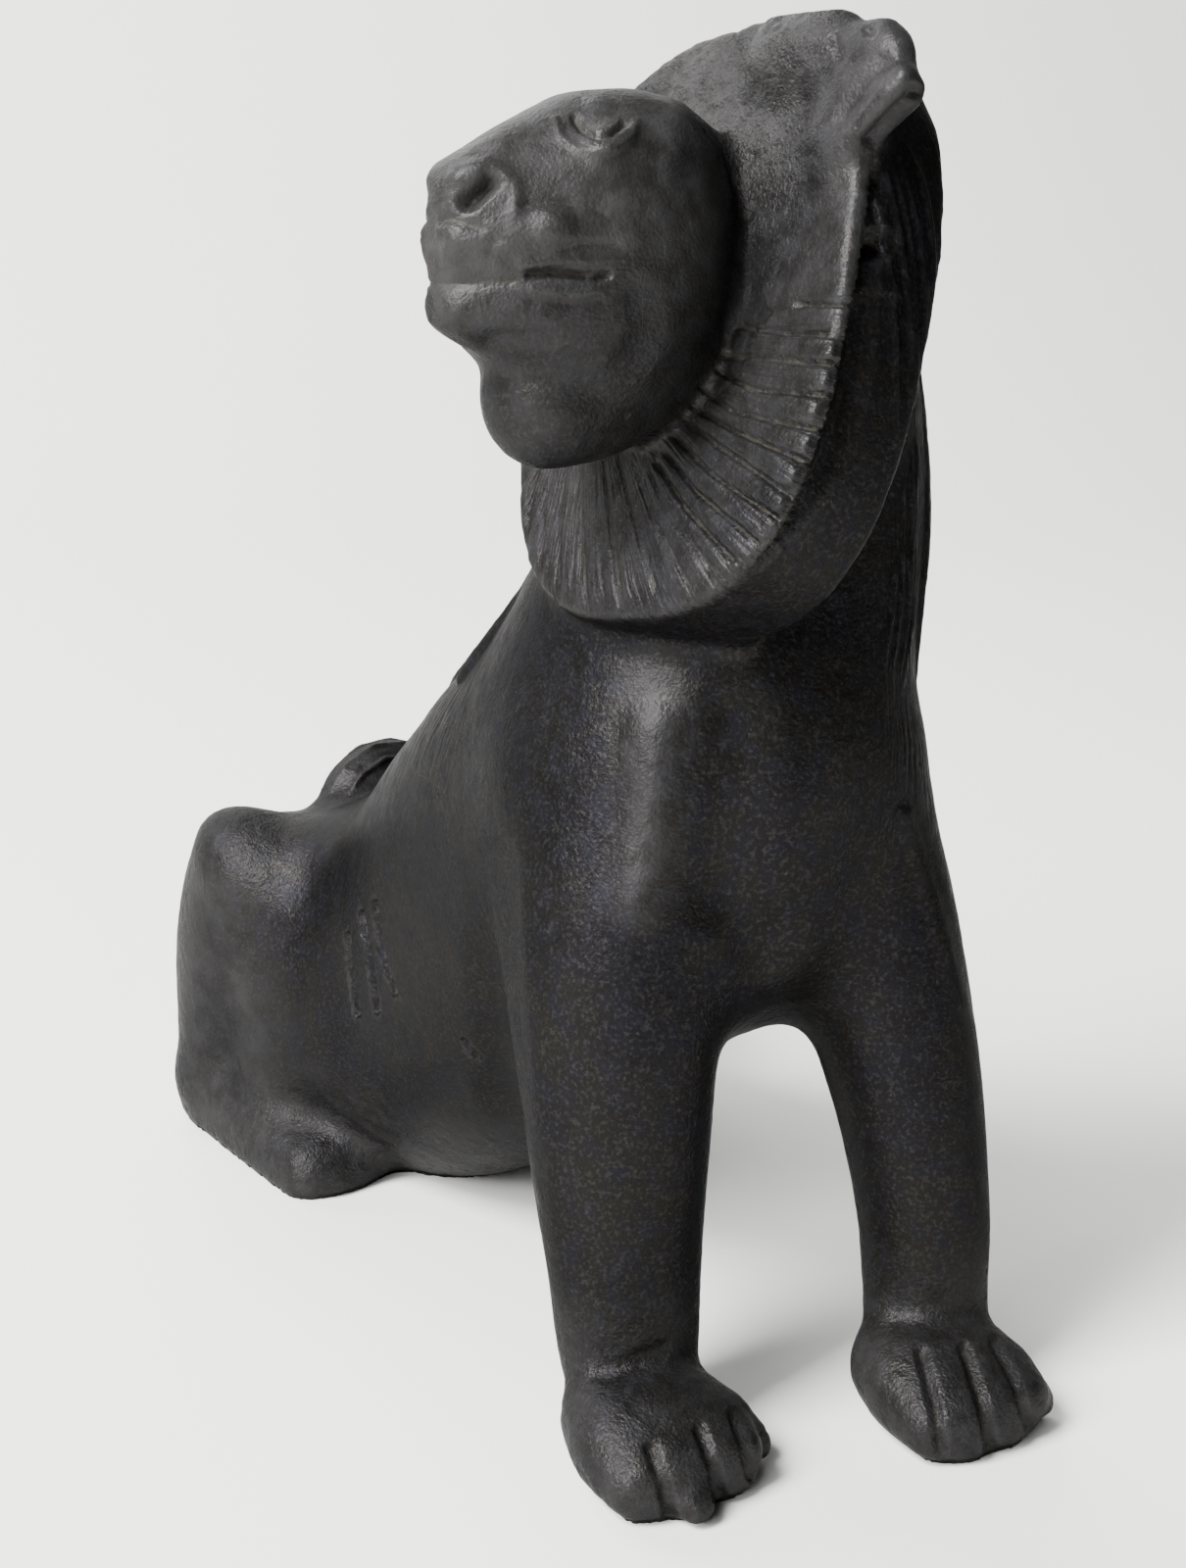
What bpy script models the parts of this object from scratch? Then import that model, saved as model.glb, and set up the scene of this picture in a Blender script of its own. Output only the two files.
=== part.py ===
"""A small cast bronze lion. It sits with its forelegs straight, its back sloping down to folded hind
legs, and its head turned to its right inside a furrowed ruff. Metres, +Z up, and the lion faces -Y.

The figure is built up the way a wax model is. Each limb is wax laid along a path, the limbs are blended
and the drawing is pressed in. Places of the free-form figure are shares of its height."""

import math

import bmesh
import bpy
import numpy as np
from mathutils import Matrix, Vector

# Driving sizes, in metres
HEIGHT = 0.0620  # ground to the crest of the ruff
LENGTH = 0.0670  # front toes to rump
BODY_WIDTH = 0.0186  # across the barrel of the body
FORELEG_WIDTH = 0.0074  # across the right foreleg above the wrist
PAW_WIDTH = 0.0083
HIND_PAW_WIDTH = 0.0068
SHIN_WIDTH = 0.0043
RUFF_HEIGHT = 0.0258
RUFF_WIDTH = 0.0203
RUFF_THICKNESS = 0.0053
SKULL_WIDTH = 0.0097
SKULL_HEIGHT = 0.0133
MUZZLE_REACH = 0.0115  # lips ahead of the ruff's middle
EYE_DIAMETER = 0.0022
EAR_LENGTH = 0.0053
EAR_WIDTH = 0.0034
TAIL_WIDTH = 0.0034
FURROW_DEPTH = 0.0005
MOUTH_DEPTH = 0.0010
CLEFT_DEPTH = 0.0006  # between the toes

RUFF_FURROWS = 40
TOES = 4
RUFF_LEAN = math.radians(20)
RUFF_ROLL = math.radians(9)
HEAD_TURN = math.radians(7)

WAX_GRAIN = HEIGHT / 155  # edge of the mesh that is carved
TRIANGLES = 9000
SPAN_STEPS = 4  # straight runs between two stations of a limb
NEAR = 5 * WAX_GRAIN / HEIGHT  # reach of a limb's field beyond its own wax, as a share

# Shares of the height
RUFF_CENTRE = np.array([-0.085, 0.150, 0.812])
CHEST = 0.19
BUILT_LENGTH = 1.0806


def share(length):
    return length / HEIGHT


def behind(y):
    """A place behind the chest, moved with the figure's length."""
    stretch = (share(LENGTH) - CHEST) / (BUILT_LENGTH - CHEST)
    return CHEST + (y - CHEST) * stretch


class Frame:
    """A place with its own left, forward and up directions, in shares of the height."""

    def __init__(self, origin, left, forward, up):
        self.origin = np.array(origin, float)
        self.axes = np.array([left, forward, up], float)

    def out(self, left, forward, up):
        return self.origin + np.array([left, forward, up]) @ self.axes

    def into(self, points):
        return (points - self.origin) @ self.axes.T


def head_frame():
    """The face looks along -X, turned a little to the lion's front, and stays level."""
    c = math.cos(HEAD_TURN)
    s = math.sin(HEAD_TURN)
    return Frame(RUFF_CENTRE, (s, -c, 0), (-c, -s, 0), (0, 0, 1))


def ruff_frame():
    """The ruff leans back from the face and is rolled a little about its own axis."""
    left, forward, up = HEAD.axes
    face = forward * math.cos(RUFF_LEAN) + up * math.sin(RUFF_LEAN)
    crown = up * math.cos(RUFF_LEAN) - forward * math.sin(RUFF_LEAN)
    rolled_left = left * math.cos(RUFF_ROLL) + crown * math.sin(RUFF_ROLL)
    rolled_crown = crown * math.cos(RUFF_ROLL) - left * math.sin(RUFF_ROLL)
    return Frame(RUFF_CENTRE, rolled_left, face, rolled_crown)


HEAD = head_frame()
RUFF = ruff_frame()


def smooth_path(stations):
    """The stations with more rows between them, on a Catmull-Rom curve."""
    rows = np.array(stations, float)
    rows = np.vstack([2 * rows[0] - rows[1], rows, 2 * rows[-1] - rows[-2]])
    made = []
    for a, b, c, d in zip(rows, rows[1:], rows[2:], rows[3:]):
        for t in np.arange(SPAN_STEPS) / SPAN_STEPS:
            bend = 2 * a - 5 * b + 4 * c - d
            twist = 3 * b - a - 3 * c + d
            made.append(b + 0.5 * ((c - a) * t + bend * t**2 + twist * t**3))
    made.append(rows[-2])
    return np.array(made)


class Limb:
    """Wax laid along a path. A station is x, y, z, half width, half depth and, if given, the length of its
    rounded end. The width runs along the across direction, and a power over 2 squares the section."""

    def __init__(self, stations, blend, across=(1, 0, 0), power=2.0):
        path = smooth_path([row if len(row) == 6 else (*row, min(row[3:5])) for row in stations])
        self.centres = path[:, :3]
        self.radii = path[:, 3:]
        self.blend = blend
        self.power = power
        along = np.gradient(self.centres, axis=0)
        along /= np.linalg.norm(along, axis=1, keepdims=True)
        width = across - along * (along @ np.array(across, float))[:, None]
        width /= np.linalg.norm(width, axis=1, keepdims=True)
        self.axes = np.stack([width, np.cross(along, width), along], axis=1)

    def distance(self, points):
        found = np.full(len(points), 1.0)
        margin = self.radii.max() + self.blend + NEAR
        for i in range(len(self.centres) - 1):
            start = self.centres[i]
            end = self.centres[i + 1]
            inside = (points > np.minimum(start, end) - margin) & (points < np.maximum(start, end) + margin)
            close = np.flatnonzero(inside.all(axis=1))
            span = end - start
            offset = points[close] - start
            part = np.clip(offset @ span / (span @ span), 0, 1)[:, None]
            offset = offset - part * span
            axes = self.axes[i] + part[:, :, None] * (self.axes[i + 1] - self.axes[i])
            radii = self.radii[i] + part * (self.radii[i + 1] - self.radii[i])
            local = np.einsum("nij,nj->ni", axes, offset)
            ratio = np.abs(local / radii) + 1e-9
            section = (ratio[:, :2] ** self.power).sum(axis=1) ** (2 / self.power)
            near = np.sqrt(section + ratio[:, 2] ** 2)
            steep = np.linalg.norm(local / radii**2, axis=1) + 1e-9
            found[close] = np.minimum(found[close], near * (near - 1) / steep)
        return found

    def add_rough(self, shape):
        for centre, axes, radii in zip(self.centres, self.axes, self.radii):
            place = Matrix(axes.T.tolist()).to_4x4() @ Matrix.Diagonal((*radii, 1))
            place.translation = Vector(centre)
            bmesh.ops.create_icosphere(shape, subdivisions=3, radius=1, matrix=place)


class Ruff:
    """A flat shield with a rounded-square outline and a crisp rim."""

    power = 2.7
    rim = 0.012
    blend = 0.020

    def __init__(self):
        self.half_width = share(RUFF_WIDTH) / 2
        self.half_height = share(RUFF_HEIGHT) / 2
        self.thickness = share(RUFF_THICKNESS)

    def distance(self, points):
        left, forward, up = RUFF.into(points).T
        wide = np.abs(left) / self.half_width
        high = np.abs(up) / self.half_height
        ring = (wide**self.power + high**self.power) ** (1 / self.power)
        scale = np.hypot(left, up) / np.maximum(ring, 1e-6)
        side = (ring - 1) * np.maximum(scale, 0.3 * self.half_width) + self.rim
        cap = np.abs(forward + self.thickness / 2) - self.thickness / 2 + self.rim
        outside = np.hypot(np.maximum(side, 0), np.maximum(cap, 0))
        return outside + np.minimum(np.maximum(side, cap), 0) - self.rim

    def add_rough(self, shape):
        place = Matrix(RUFF.axes.T.tolist()).to_4x4()
        place.translation = Vector(RUFF.out(0, -self.thickness / 2, 0))
        # The disc's own Z becomes the frame's forward direction.
        turn = Matrix.Rotation(math.radians(90), 4, "X")
        size = Matrix.Diagonal((self.half_width, self.thickness, self.half_height, 1))
        bmesh.ops.create_cone(
            shape, cap_ends=True, segments=48, radius1=1, radius2=1, depth=1, matrix=place @ size @ turn
        )


def torso():
    half = share(BODY_WIDTH) / 2
    return Limb(
        [
            (-0.015, 0.190, 0.500, 0.83 * half, 0.115),
            (-0.010, behind(0.290), 0.440, 0.99 * half, 0.180),
            (-0.005, behind(0.450), 0.330, half, 0.190),
            (0, behind(0.620), 0.205, 0.97 * half, 0.190),
            (0, behind(0.780), 0.140, 0.93 * half, 0.180),
            (0, behind(0.920), 0.115, 0.83 * half, 0.150, 0.120),
        ],
        blend=0.05,
        power=2.2,
    )


def neck():
    half = share(BODY_WIDTH) / 2
    return Limb(
        [
            (-0.015, 0.250, 0.420, 0.90 * half, 0.170),
            (-0.005, 0.225, 0.560, 0.95 * half, 0.160),
            (0.008, 0.205, 0.680, 0.87 * half, 0.150),
            (0.004, 0.190, 0.800, 0.72 * half, 0.142),
            (-0.006, 0.190, 0.880, 0.55 * half, 0.110),
        ],
        blend=0.05,
    )


def foreleg(side):
    """The left foreleg is the slimmer, and is set a little further forward."""
    half = share(FORELEG_WIDTH) / 2
    if side < 0:
        stations = [
            (-0.095, 0.220, 0.470, 1.25 * half, 0.100),
            (-0.112, 0.185, 0.380, 1.30 * half, 0.095),
            (-0.120, 0.165, 0.270, 1.17 * half, 0.075),
            (-0.120, 0.155, 0.150, half, 0.056),
            (-0.118, 0.150, 0.070, 0.90 * half, 0.048),
        ]
    else:
        stations = [
            (0.070, 0.190, 0.470, half, 0.095),
            (0.085, 0.155, 0.380, 1.10 * half, 0.080),
            (0.104, 0.120, 0.260, 0.98 * half, 0.060),
            (0.114, 0.100, 0.150, 0.86 * half, 0.050),
            (0.116, 0.095, 0.070, 0.83 * half, 0.045),
        ]
    return Limb(stations, blend=0.04)


def forepaw(side):
    half = share(PAW_WIDTH) / 2
    middle, tip = forepaw_place(side)
    return Limb(
        [
            (middle, tip + 0.115, 0.036, 0.81 * half, 0.040),
            (middle, tip + 0.065, 0.034, half, 0.040),
            (middle, tip + 0.018, 0.022, 0.93 * half, 0.026, 0.020),
        ],
        blend=0.015,
        power=2.4,
    )


def forepaw_place(side):
    """Middle of the paw and the tip of its toes."""
    return (-0.135, 0.004) if side < 0 else (0.092, -0.040)


def thigh(side):
    return Limb(
        [
            (side * 0.155, behind(0.765), 0.278, 0.050, 0.062),
            (side * 0.125, behind(0.820), 0.205, 0.066, 0.120),
            (side * 0.090, behind(0.880), 0.120, 0.090, 0.150),
        ],
        blend=0.05,
    )


def haunch(side):
    """The rounded flank in front of the shin."""
    return Limb(
        [
            (side * 0.085, behind(0.700), 0.200, 0.085, 0.130),
            (side * 0.100, behind(0.790), 0.160, 0.085, 0.150),
        ],
        blend=0.06,
    )


def shin(side):
    half = share(SHIN_WIDTH) / 2
    return Limb(
        [
            (side * 0.172, behind(0.785), 0.298, half, 0.052),
            (side * 0.178, behind(0.830), 0.190, half, 0.058),
            (side * 0.172, behind(0.870), 0.045, half, 0.050),
        ],
        blend=0.03,
    )


def hind_paw(side):
    half = share(HIND_PAW_WIDTH) / 2
    return Limb(
        [
            (side * 0.162, behind(0.880), 0.020, 0.73 * half, 0.045),
            (side * 0.156, behind(0.770), 0.018, 0.77 * half, 0.045),
            (side * 0.134, behind(0.665), 0.012, half, 0.042, 0.036),
        ],
        blend=0.03,
        power=2.6,
    )


def tail():
    """From the rump up the left flank, over the spine and down onto the right flank."""
    half = share(TAIL_WIDTH) / 2
    return Limb(
        [
            (0.060, behind(1.000), 0.080, 1.10 * half, 0.030),
            (0.130, behind(0.940), 0.170, 0.95 * half, 0.026),
            (0.110, behind(0.870), 0.280, 0.95 * half, 0.026),
            (0.040, behind(0.820), 0.345, 0.95 * half, 0.034),
            (-0.045, behind(0.775), 0.358, half, 0.036),
            (-0.120, behind(0.740), 0.280, 0.88 * half, 0.028),
        ],
        blend=0.02,
        across=(0, 1, 0),
    )


def on_head(stations, blend, power=2.0):
    """A limb given as left, forward and up in the head's own frame."""
    placed = [(*HEAD.out(*row[:3]), *row[3:]) for row in stations]
    return Limb(placed, blend, across=HEAD.axes[0], power=power)


def skull():
    half = share(SKULL_WIDTH) / 2
    tall = share(SKULL_HEIGHT) / 2
    reach = share(MUZZLE_REACH)
    return on_head(
        [
            (0, -0.030, 0.035, 0.51 * half, 0.79 * tall),
            (0, 0.015, 0.035, 0.82 * half, tall),
            (0, 0.30 * reach, 0.037, half, tall),
            (0, 0.51 * reach, 0.042, 0.87 * half, 0.84 * tall),
            (0, 0.70 * reach, 0.048, 0.64 * half, 0.60 * tall),
            (0, 0.81 * reach, 0.050, 0.44 * half, 0.43 * tall, 0.022),
        ],
        blend=0.010,
        power=2.4,
    )


def upper_lip():
    reach = share(MUZZLE_REACH)
    return on_head(
        [
            (0, 0.49 * reach, 0.054, 0.076, 0.034),
            (0, 0.73 * reach, 0.053, 0.058, 0.030),
            (0, 0.88 * reach, 0.051, 0.032, 0.022, 0.024),
        ],
        blend=0.008,
    )


def lower_jaw():
    reach = share(MUZZLE_REACH)
    return on_head(
        [
            (0, 0.38 * reach, 0.006, 0.068, 0.030),
            (0, 0.70 * reach, 0.006, 0.054, 0.024),
            (0, 0.89 * reach, 0.010, 0.030, 0.018, 0.024),
        ],
        blend=0.014,
    )


def throat():
    """The rounded lobe that hangs under the jaw."""
    reach = share(MUZZLE_REACH)
    return on_head(
        [
            (0, 0.000, -0.060, 0.040, 0.040),
            (0, 0.43 * reach, -0.048, 0.046, 0.038),
            (0, 0.61 * reach, -0.046, 0.044, 0.040, 0.034),
        ],
        blend=0.004,
    )


def nose():
    reach = share(MUZZLE_REACH)
    return on_head(
        [
            (0, 0.46 * reach, 0.110, 0.036, 0.030),
            (0, 0.70 * reach, 0.098, 0.028, 0.022),
            (0, 0.85 * reach, 0.084, 0.028, 0.018, 0.018),
        ],
        blend=0.012,
    )


def eye_circle(side, radius, count):
    """Places round the eye, on a disc that faces up, outward and forward."""
    middle = np.array([side * 0.046, 0.52 * share(MUZZLE_REACH), 0.109])
    out = np.array([side * 0.60, 0.34, 0.72])
    out /= np.linalg.norm(out)
    ahead = np.cross((side, 0, 0), out)
    ahead /= np.linalg.norm(ahead)
    aside = np.cross(out, ahead)
    angles = np.linspace(0, 2 * math.pi, count)
    return middle + radius * (np.outer(np.cos(angles), ahead) + np.outer(np.sin(angles), aside))


def eyeball(side):
    radius = share(EYE_DIAMETER) / 2
    places = eye_circle(side, 0, 2)
    places[1] += (side * 0.004, 0.002, 0.004)
    return on_head([(*place, radius, radius) for place in places], blend=0.002)


def eye_rim(side):
    radius = 1.3 * share(EYE_DIAMETER) / 2
    return on_head([(*place, 0.006, 0.006) for place in eye_circle(side, radius, 9)], blend=0.004)


def ear(side):
    """A rolled flap on the ruff's upper corner; the right one is set lower, behind the head."""
    half = share(EAR_WIDTH) / 2
    long = share(EAR_LENGTH)
    left, up = (0.159, 0.148) if side > 0 else (-0.150, 0.090)
    stations = []
    for part, wide, thick in ((-0.9, 0.72, 0.016), (-0.35, 1.0, 0.019), (0, 0.95, 0.018)):
        place = RUFF.out(left + side * 0.18 * part * long, -0.002, up + part * long)
        stations.append((*place, wide * half, thick))
    return Limb(stations, blend=0.008, across=RUFF.axes[1])


def figure():
    """Every limb, in the order in which it is blended in."""
    made = [torso(), neck()]
    for side in (-1, 1):
        made += [foreleg(side), forepaw(side), thigh(side), haunch(side), shin(side), hind_paw(side)]
    made += [tail(), Ruff(), skull(), throat(), upper_lip(), lower_jaw(), nose()]
    for side in (-1, 1):
        made += [eyeball(side), eye_rim(side), ear(side)]
    return made


def blended(points, limbs):
    """Distance of each point to the blended wax, negative inside; the ground cuts it flat."""
    found = np.full(len(points), 1.0)
    for limb in limbs:
        one = limb.distance(points)
        overlap = np.maximum(limb.blend - np.abs(found - one), 0) / limb.blend
        found = np.minimum(found, one) - overlap**2 * limb.blend / 4
    return np.maximum(found, -points[:, 2])


def rough_wax(limbs):
    """Balls of wax and the ruff's disc, still overlapping."""
    shape = bmesh.new()
    for limb in limbs:
        limb.add_rough(shape)
    bmesh.ops.scale(shape, vec=(HEIGHT, HEIGHT, HEIGHT), verts=shape.verts)
    bmesh.ops.recalc_face_normals(shape, faces=shape.faces)
    mesh = bpy.data.meshes.new("rough wax")
    shape.to_mesh(mesh)
    shape.free()
    return mesh


def modified(mesh, name, kind, **settings):
    """The mesh with one modifier applied."""
    holder = bpy.data.objects.new(name, mesh)
    bpy.context.scene.collection.objects.link(holder)
    modifier = holder.modifiers.new(name, kind)
    for key, value in settings.items():
        setattr(modifier, key, value)
    graph = bpy.context.evaluated_depsgraph_get()
    made = bpy.data.meshes.new_from_object(holder.evaluated_get(graph))
    bpy.data.objects.remove(holder)
    bpy.data.meshes.remove(mesh)
    return made


def merged(mesh, grain):
    """One closed skin round all the wax, of even grain."""
    return modified(mesh, "merge", "REMESH", mode="VOXEL", voxel_size=grain, adaptivity=0)


def points_of(mesh):
    flat = np.empty(len(mesh.vertices) * 3, np.float32)
    mesh.vertices.foreach_get("co", flat)
    return flat.reshape(-1, 3).astype(float)


def normals_of(mesh):
    flat = np.empty(len(mesh.vertices) * 3, np.float32)
    mesh.vertex_normals.foreach_get("vector", flat)
    return flat.reshape(-1, 3).astype(float)


def move(mesh, points):
    mesh.vertices.foreach_set("co", points.astype(np.float32).ravel())
    mesh.update()


def settle(mesh, limbs, rounds):
    """Moves the wax along its normals until it lies on the blended surface."""
    for _ in range(rounds):
        points = points_of(mesh)
        gap = blended(points / HEIGHT, limbs) * HEIGHT
        step = np.clip(gap, -2 * WAX_GRAIN, 2 * WAX_GRAIN)
        move(mesh, points - normals_of(mesh) * step[:, None])


def to_polyline(points, line):
    """Distance from each point of a drawing to a line of it."""
    line = np.array(line, float)
    found = np.full(len(points), np.inf)
    for start, end in zip(line[:-1], line[1:]):
        span = end - start
        part = np.clip((points - start) @ span / (span @ span), 0, 1)[:, None]
        found = np.minimum(found, np.linalg.norm(points - start - part * span, axis=1))
    return found


def stroke(points, line, radius, depth):
    """Depth of a rounded stroke along a line, or of a ridge where the depth is negative."""
    away = to_polyline(points, line) / radius
    return depth * np.maximum(1 - away**2, 0) ** 2


def face_depth(points, normals):
    """Mouth, lips, nostrils and whisker pads, drawn on both sides of the face as seen from the side."""
    local = HEAD.into(points)
    reach = share(MUZZLE_REACH)
    flat = local[:, 1:] / (reach, 1)
    flat[:, 0] *= 0.185
    mouth = share(MOUTH_DEPTH)
    depth = np.maximum(
        stroke(flat, [(0.200, 0.030), (0.165, 0.031), (0.108, 0.029)], 0.007, 0.3 * mouth),
        stroke(flat, [(0.143, 0.029), (0.116, 0.028)], 0.013, mouth),
    )
    upper = [(0.190, 0.045), (0.155, 0.047), (0.120, 0.043), (0.098, 0.034)]
    lower = [(0.186, 0.016), (0.155, 0.013), (0.125, 0.013), (0.105, 0.020)]
    depth += stroke(flat, upper, 0.009, -0.25 * mouth)
    depth += stroke(flat, lower, 0.009, -0.25 * mouth)
    depth += stroke(flat, [(0.176, 0.074), (0.166, 0.068)], 0.013, mouth)
    depth += stroke(flat, [(0.186, 0.086), (0.168, 0.094), (0.150, 0.084)], 0.009, -0.3 * mouth)
    depth += stroke(flat, [(0.150, 0.060), (0.140, 0.060)], 0.018, -0.35 * mouth)
    sideways = np.abs(normals @ HEAD.axes[0])
    return np.where(local[:, 1] > 0.08, depth * np.clip(3 * sideways - 0.3, 0, 1), 0)


def ruff_depth(points, normals):
    """Furrows that run out from the face to the ruff's rim; the worn crown has none."""
    left, forward, up = RUFF.into(points).T
    wide = 2 * left / share(RUFF_WIDTH)
    high = 2 * up / share(RUFF_HEIGHT)
    angle = np.arctan2(high, wide)
    reach = np.hypot(wide, high)
    furrow = (0.5 - 0.5 * np.cos(angle * RUFF_FURROWS)) ** 2
    lower = np.clip(0.7 - 2 * np.sin(angle), 0, 1)
    facing = np.clip((normals @ RUFF.axes[1]) * 2, 0, 1)
    ring = np.clip((reach - 0.62) * 6, 0, 1) * (reach < 1.1) * (np.abs(forward) < 0.04)
    return share(FURROW_DEPTH) * furrow * lower * facing * ring


def toe_depth(points, normals):
    """The clefts between the toes of the forepaws."""
    depth = np.zeros(len(points))
    gap = share(PAW_WIDTH) / TOES
    for side in (-1, 1):
        flat = points[:, :2] - forepaw_place(side)
        on_paw = (points[:, 2] < 0.09) & (flat[:, 1] < 0.1)
        for cleft in range(1, TOES):
            aside = gap * (cleft - TOES / 2)
            pressed = stroke(flat, [(1.1 * aside, -0.02), (0.8 * aside, 0.065)], 0.010, share(CLEFT_DEPTH))
            depth += np.where(on_paw, pressed, 0)
    return depth


def carve(mesh):
    """Presses each drawing into the wax along its normals."""
    for drawing in (face_depth, ruff_depth, toe_depth):
        points = points_of(mesh)
        normals = normals_of(mesh)
        depth = drawing(points / HEIGHT, normals) * HEIGHT
        move(mesh, points - normals * depth[:, None])


def flatten(mesh):
    """The underside is dressed flat, so that the lion sits true."""
    points = points_of(mesh)
    downward = normals_of(mesh)[:, 2] < -0.7
    low = points[:, 2] < np.where(downward, WAX_GRAIN, 0)
    points[low, 2] = 0
    move(mesh, points)


def centred(mesh):
    """Moves the mesh so that the middle of its footprint is the origin."""
    points = points_of(mesh)
    middle = (points.min(axis=0) + points.max(axis=0)) / 2
    middle[2] = 0
    move(mesh, points - middle)


def bronze():
    """Cast bronze under a dark brown patina."""
    material = bpy.data.materials.new("dark patinated bronze")
    material.use_nodes = True
    shader = material.node_tree.nodes["Principled BSDF"]
    shader.inputs["Base Color"].default_value = (0.062, 0.052, 0.050, 1)
    shader.inputs["Metallic"].default_value = 0.6
    shader.inputs["Roughness"].default_value = 0.45
    return material


def cast_lion():
    limbs = figure()
    wax = merged(rough_wax(limbs), 2 * WAX_GRAIN)
    settle(wax, limbs, 4)
    wax = merged(wax, WAX_GRAIN)
    settle(wax, limbs, 4)
    wax = modified(wax, "smooth", "SMOOTH", factor=0.5, iterations=3)
    carve(wax)
    wax = merged(wax, WAX_GRAIN)
    flatten(wax)
    triangles = sum(len(face.vertices) - 2 for face in wax.polygons)
    cast = modified(wax, "thin out", "DECIMATE", ratio=TRIANGLES / triangles, use_collapse_triangulate=True)
    flatten(cast)
    centred(cast)
    return cast


def main():
    for obj in list(bpy.data.objects):
        bpy.data.objects.remove(obj)
    mesh = cast_lion()
    mesh.name = "lion"
    mesh.materials.clear()
    mesh.materials.append(bronze())
    lion = bpy.data.objects.new("lion", mesh)
    collection = bpy.data.collections.new("Bronze lion statuette")
    bpy.context.scene.collection.children.link(collection)
    collection.objects.link(lion)


main()
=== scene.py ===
import math

import bmesh
import bpy
import numpy as np
from mathutils import Matrix, Vector
from mathutils.bvhtree import BVHTree


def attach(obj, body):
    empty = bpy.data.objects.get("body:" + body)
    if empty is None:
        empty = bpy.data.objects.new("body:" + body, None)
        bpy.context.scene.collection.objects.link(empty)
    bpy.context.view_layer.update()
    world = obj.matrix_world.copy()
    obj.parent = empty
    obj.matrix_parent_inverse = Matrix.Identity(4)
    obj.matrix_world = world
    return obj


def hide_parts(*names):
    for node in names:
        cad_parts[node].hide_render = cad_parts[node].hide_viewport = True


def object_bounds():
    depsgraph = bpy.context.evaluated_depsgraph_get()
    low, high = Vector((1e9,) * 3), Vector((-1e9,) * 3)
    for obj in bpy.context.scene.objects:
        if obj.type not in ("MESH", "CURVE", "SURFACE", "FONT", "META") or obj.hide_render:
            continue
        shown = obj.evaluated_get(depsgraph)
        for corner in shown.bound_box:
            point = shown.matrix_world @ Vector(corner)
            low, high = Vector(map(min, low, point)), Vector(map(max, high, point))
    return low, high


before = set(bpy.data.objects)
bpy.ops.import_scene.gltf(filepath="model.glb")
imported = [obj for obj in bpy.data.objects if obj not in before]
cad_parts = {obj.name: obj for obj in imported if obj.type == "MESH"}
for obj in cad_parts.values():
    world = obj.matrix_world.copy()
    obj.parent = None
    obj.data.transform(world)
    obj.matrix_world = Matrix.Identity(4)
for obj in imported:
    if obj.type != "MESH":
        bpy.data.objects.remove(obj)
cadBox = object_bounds()

# The figure is worked out in shares of its height; this puts it where the CAD node stands
figure = {
    "height": 0.0620,
    "middle": (-0.001762, 0.030996, 0.0),
    "coarseGrain": 0.0008,  # of the wax, in metres, as are the next two
    "mediumGrain": 0.0004,
    "fineGrain": 0.00013,
    "triangles": 192000,
    "spanSteps": 6,  # from one station of a path to the next
    "near": 0.03,  # how far past its own skin a limb is worked out, in shares
}

photo = {
    "width": 1210,
    "height": 1600,
    "lensPixels": 2222.0,
    "azimuth": -30.0,  # degrees, as is the pitch
    "pitch": 14.0,
    "eye": (-0.874, -1.107, 0.862),  # where the camera stands, in shares
    "sensor": 36.0,
    "clip": (0.001, 20.0),
}


def addObject(name, data):
    made = bpy.data.objects.new(name, data)
    bpy.context.scene.collection.objects.link(made)
    return made


def toMetres(point):
    return Vector([point[i] * figure["height"] - figure["middle"][i] for i in range(3)])


def toShares(points):
    return (points + np.array(figure["middle"])) / figure["height"]


# camera, at the photograph's angle


def photoAxes():
    azimuth = math.radians(photo["azimuth"])
    pitch = math.radians(photo["pitch"])
    level = math.cos(pitch)
    ahead = Vector((-math.sin(azimuth) * level, math.cos(azimuth) * level, -math.sin(pitch)))
    right = Vector((math.cos(azimuth), math.sin(azimuth), 0))
    return ahead, right, right.cross(ahead)


def pixelRay(pixel):
    ahead, right, up = [np.array(axis) for axis in photoAxes()]
    across = (pixel[0] - photo["width"] / 2) / photo["lensPixels"]
    rise = (photo["height"] / 2 - pixel[1]) / photo["lensPixels"]
    return ahead + right * across + up * rise


def makeCamera():
    camera = addObject("photoCamera", bpy.data.cameras.new("photoCamera"))
    camera.data.sensor_fit = "VERTICAL"
    camera.data.sensor_height = photo["sensor"]
    camera.data.lens = photo["lensPixels"] / photo["height"] * photo["sensor"]
    camera.data.clip_start, camera.data.clip_end = photo["clip"]
    camera.location = toMetres(photo["eye"])
    camera.rotation_mode = "QUATERNION"
    camera.rotation_quaternion = photoAxes()[0].to_track_quat("-Z", "Y")
    bpy.context.scene.camera = camera


makeCamera()
print("camera set")


# wax: limbs as paths with a width and a depth, and one smooth surface round them all


class Place:
    # left, forward and up of its own, in shares of the height
    def __init__(self, origin, left, forward, up):
        self.origin = np.array(origin, float)
        self.axes = np.array([left, forward, up], float)

    def out(self, left, forward, up):
        return self.origin + np.array([left, forward, up]) @ self.axes

    def into(self, points):
        return (points - self.origin) @ self.axes.T


ruffShape = {
    "centre": (-0.085, 0.150, 0.812),
    "lean": math.radians(20),
    "roll": math.radians(9),
    "turn": math.radians(7),
    "halfWidth": 0.1570,
    "aside": -0.0020,
    "halfHeight": 0.2060,
    "thickness": 0.0855,
    "power": 2.7,
    "rim": 0.004,
    "blend": 0.016,
    "lowered": 0.0022,
}


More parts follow.
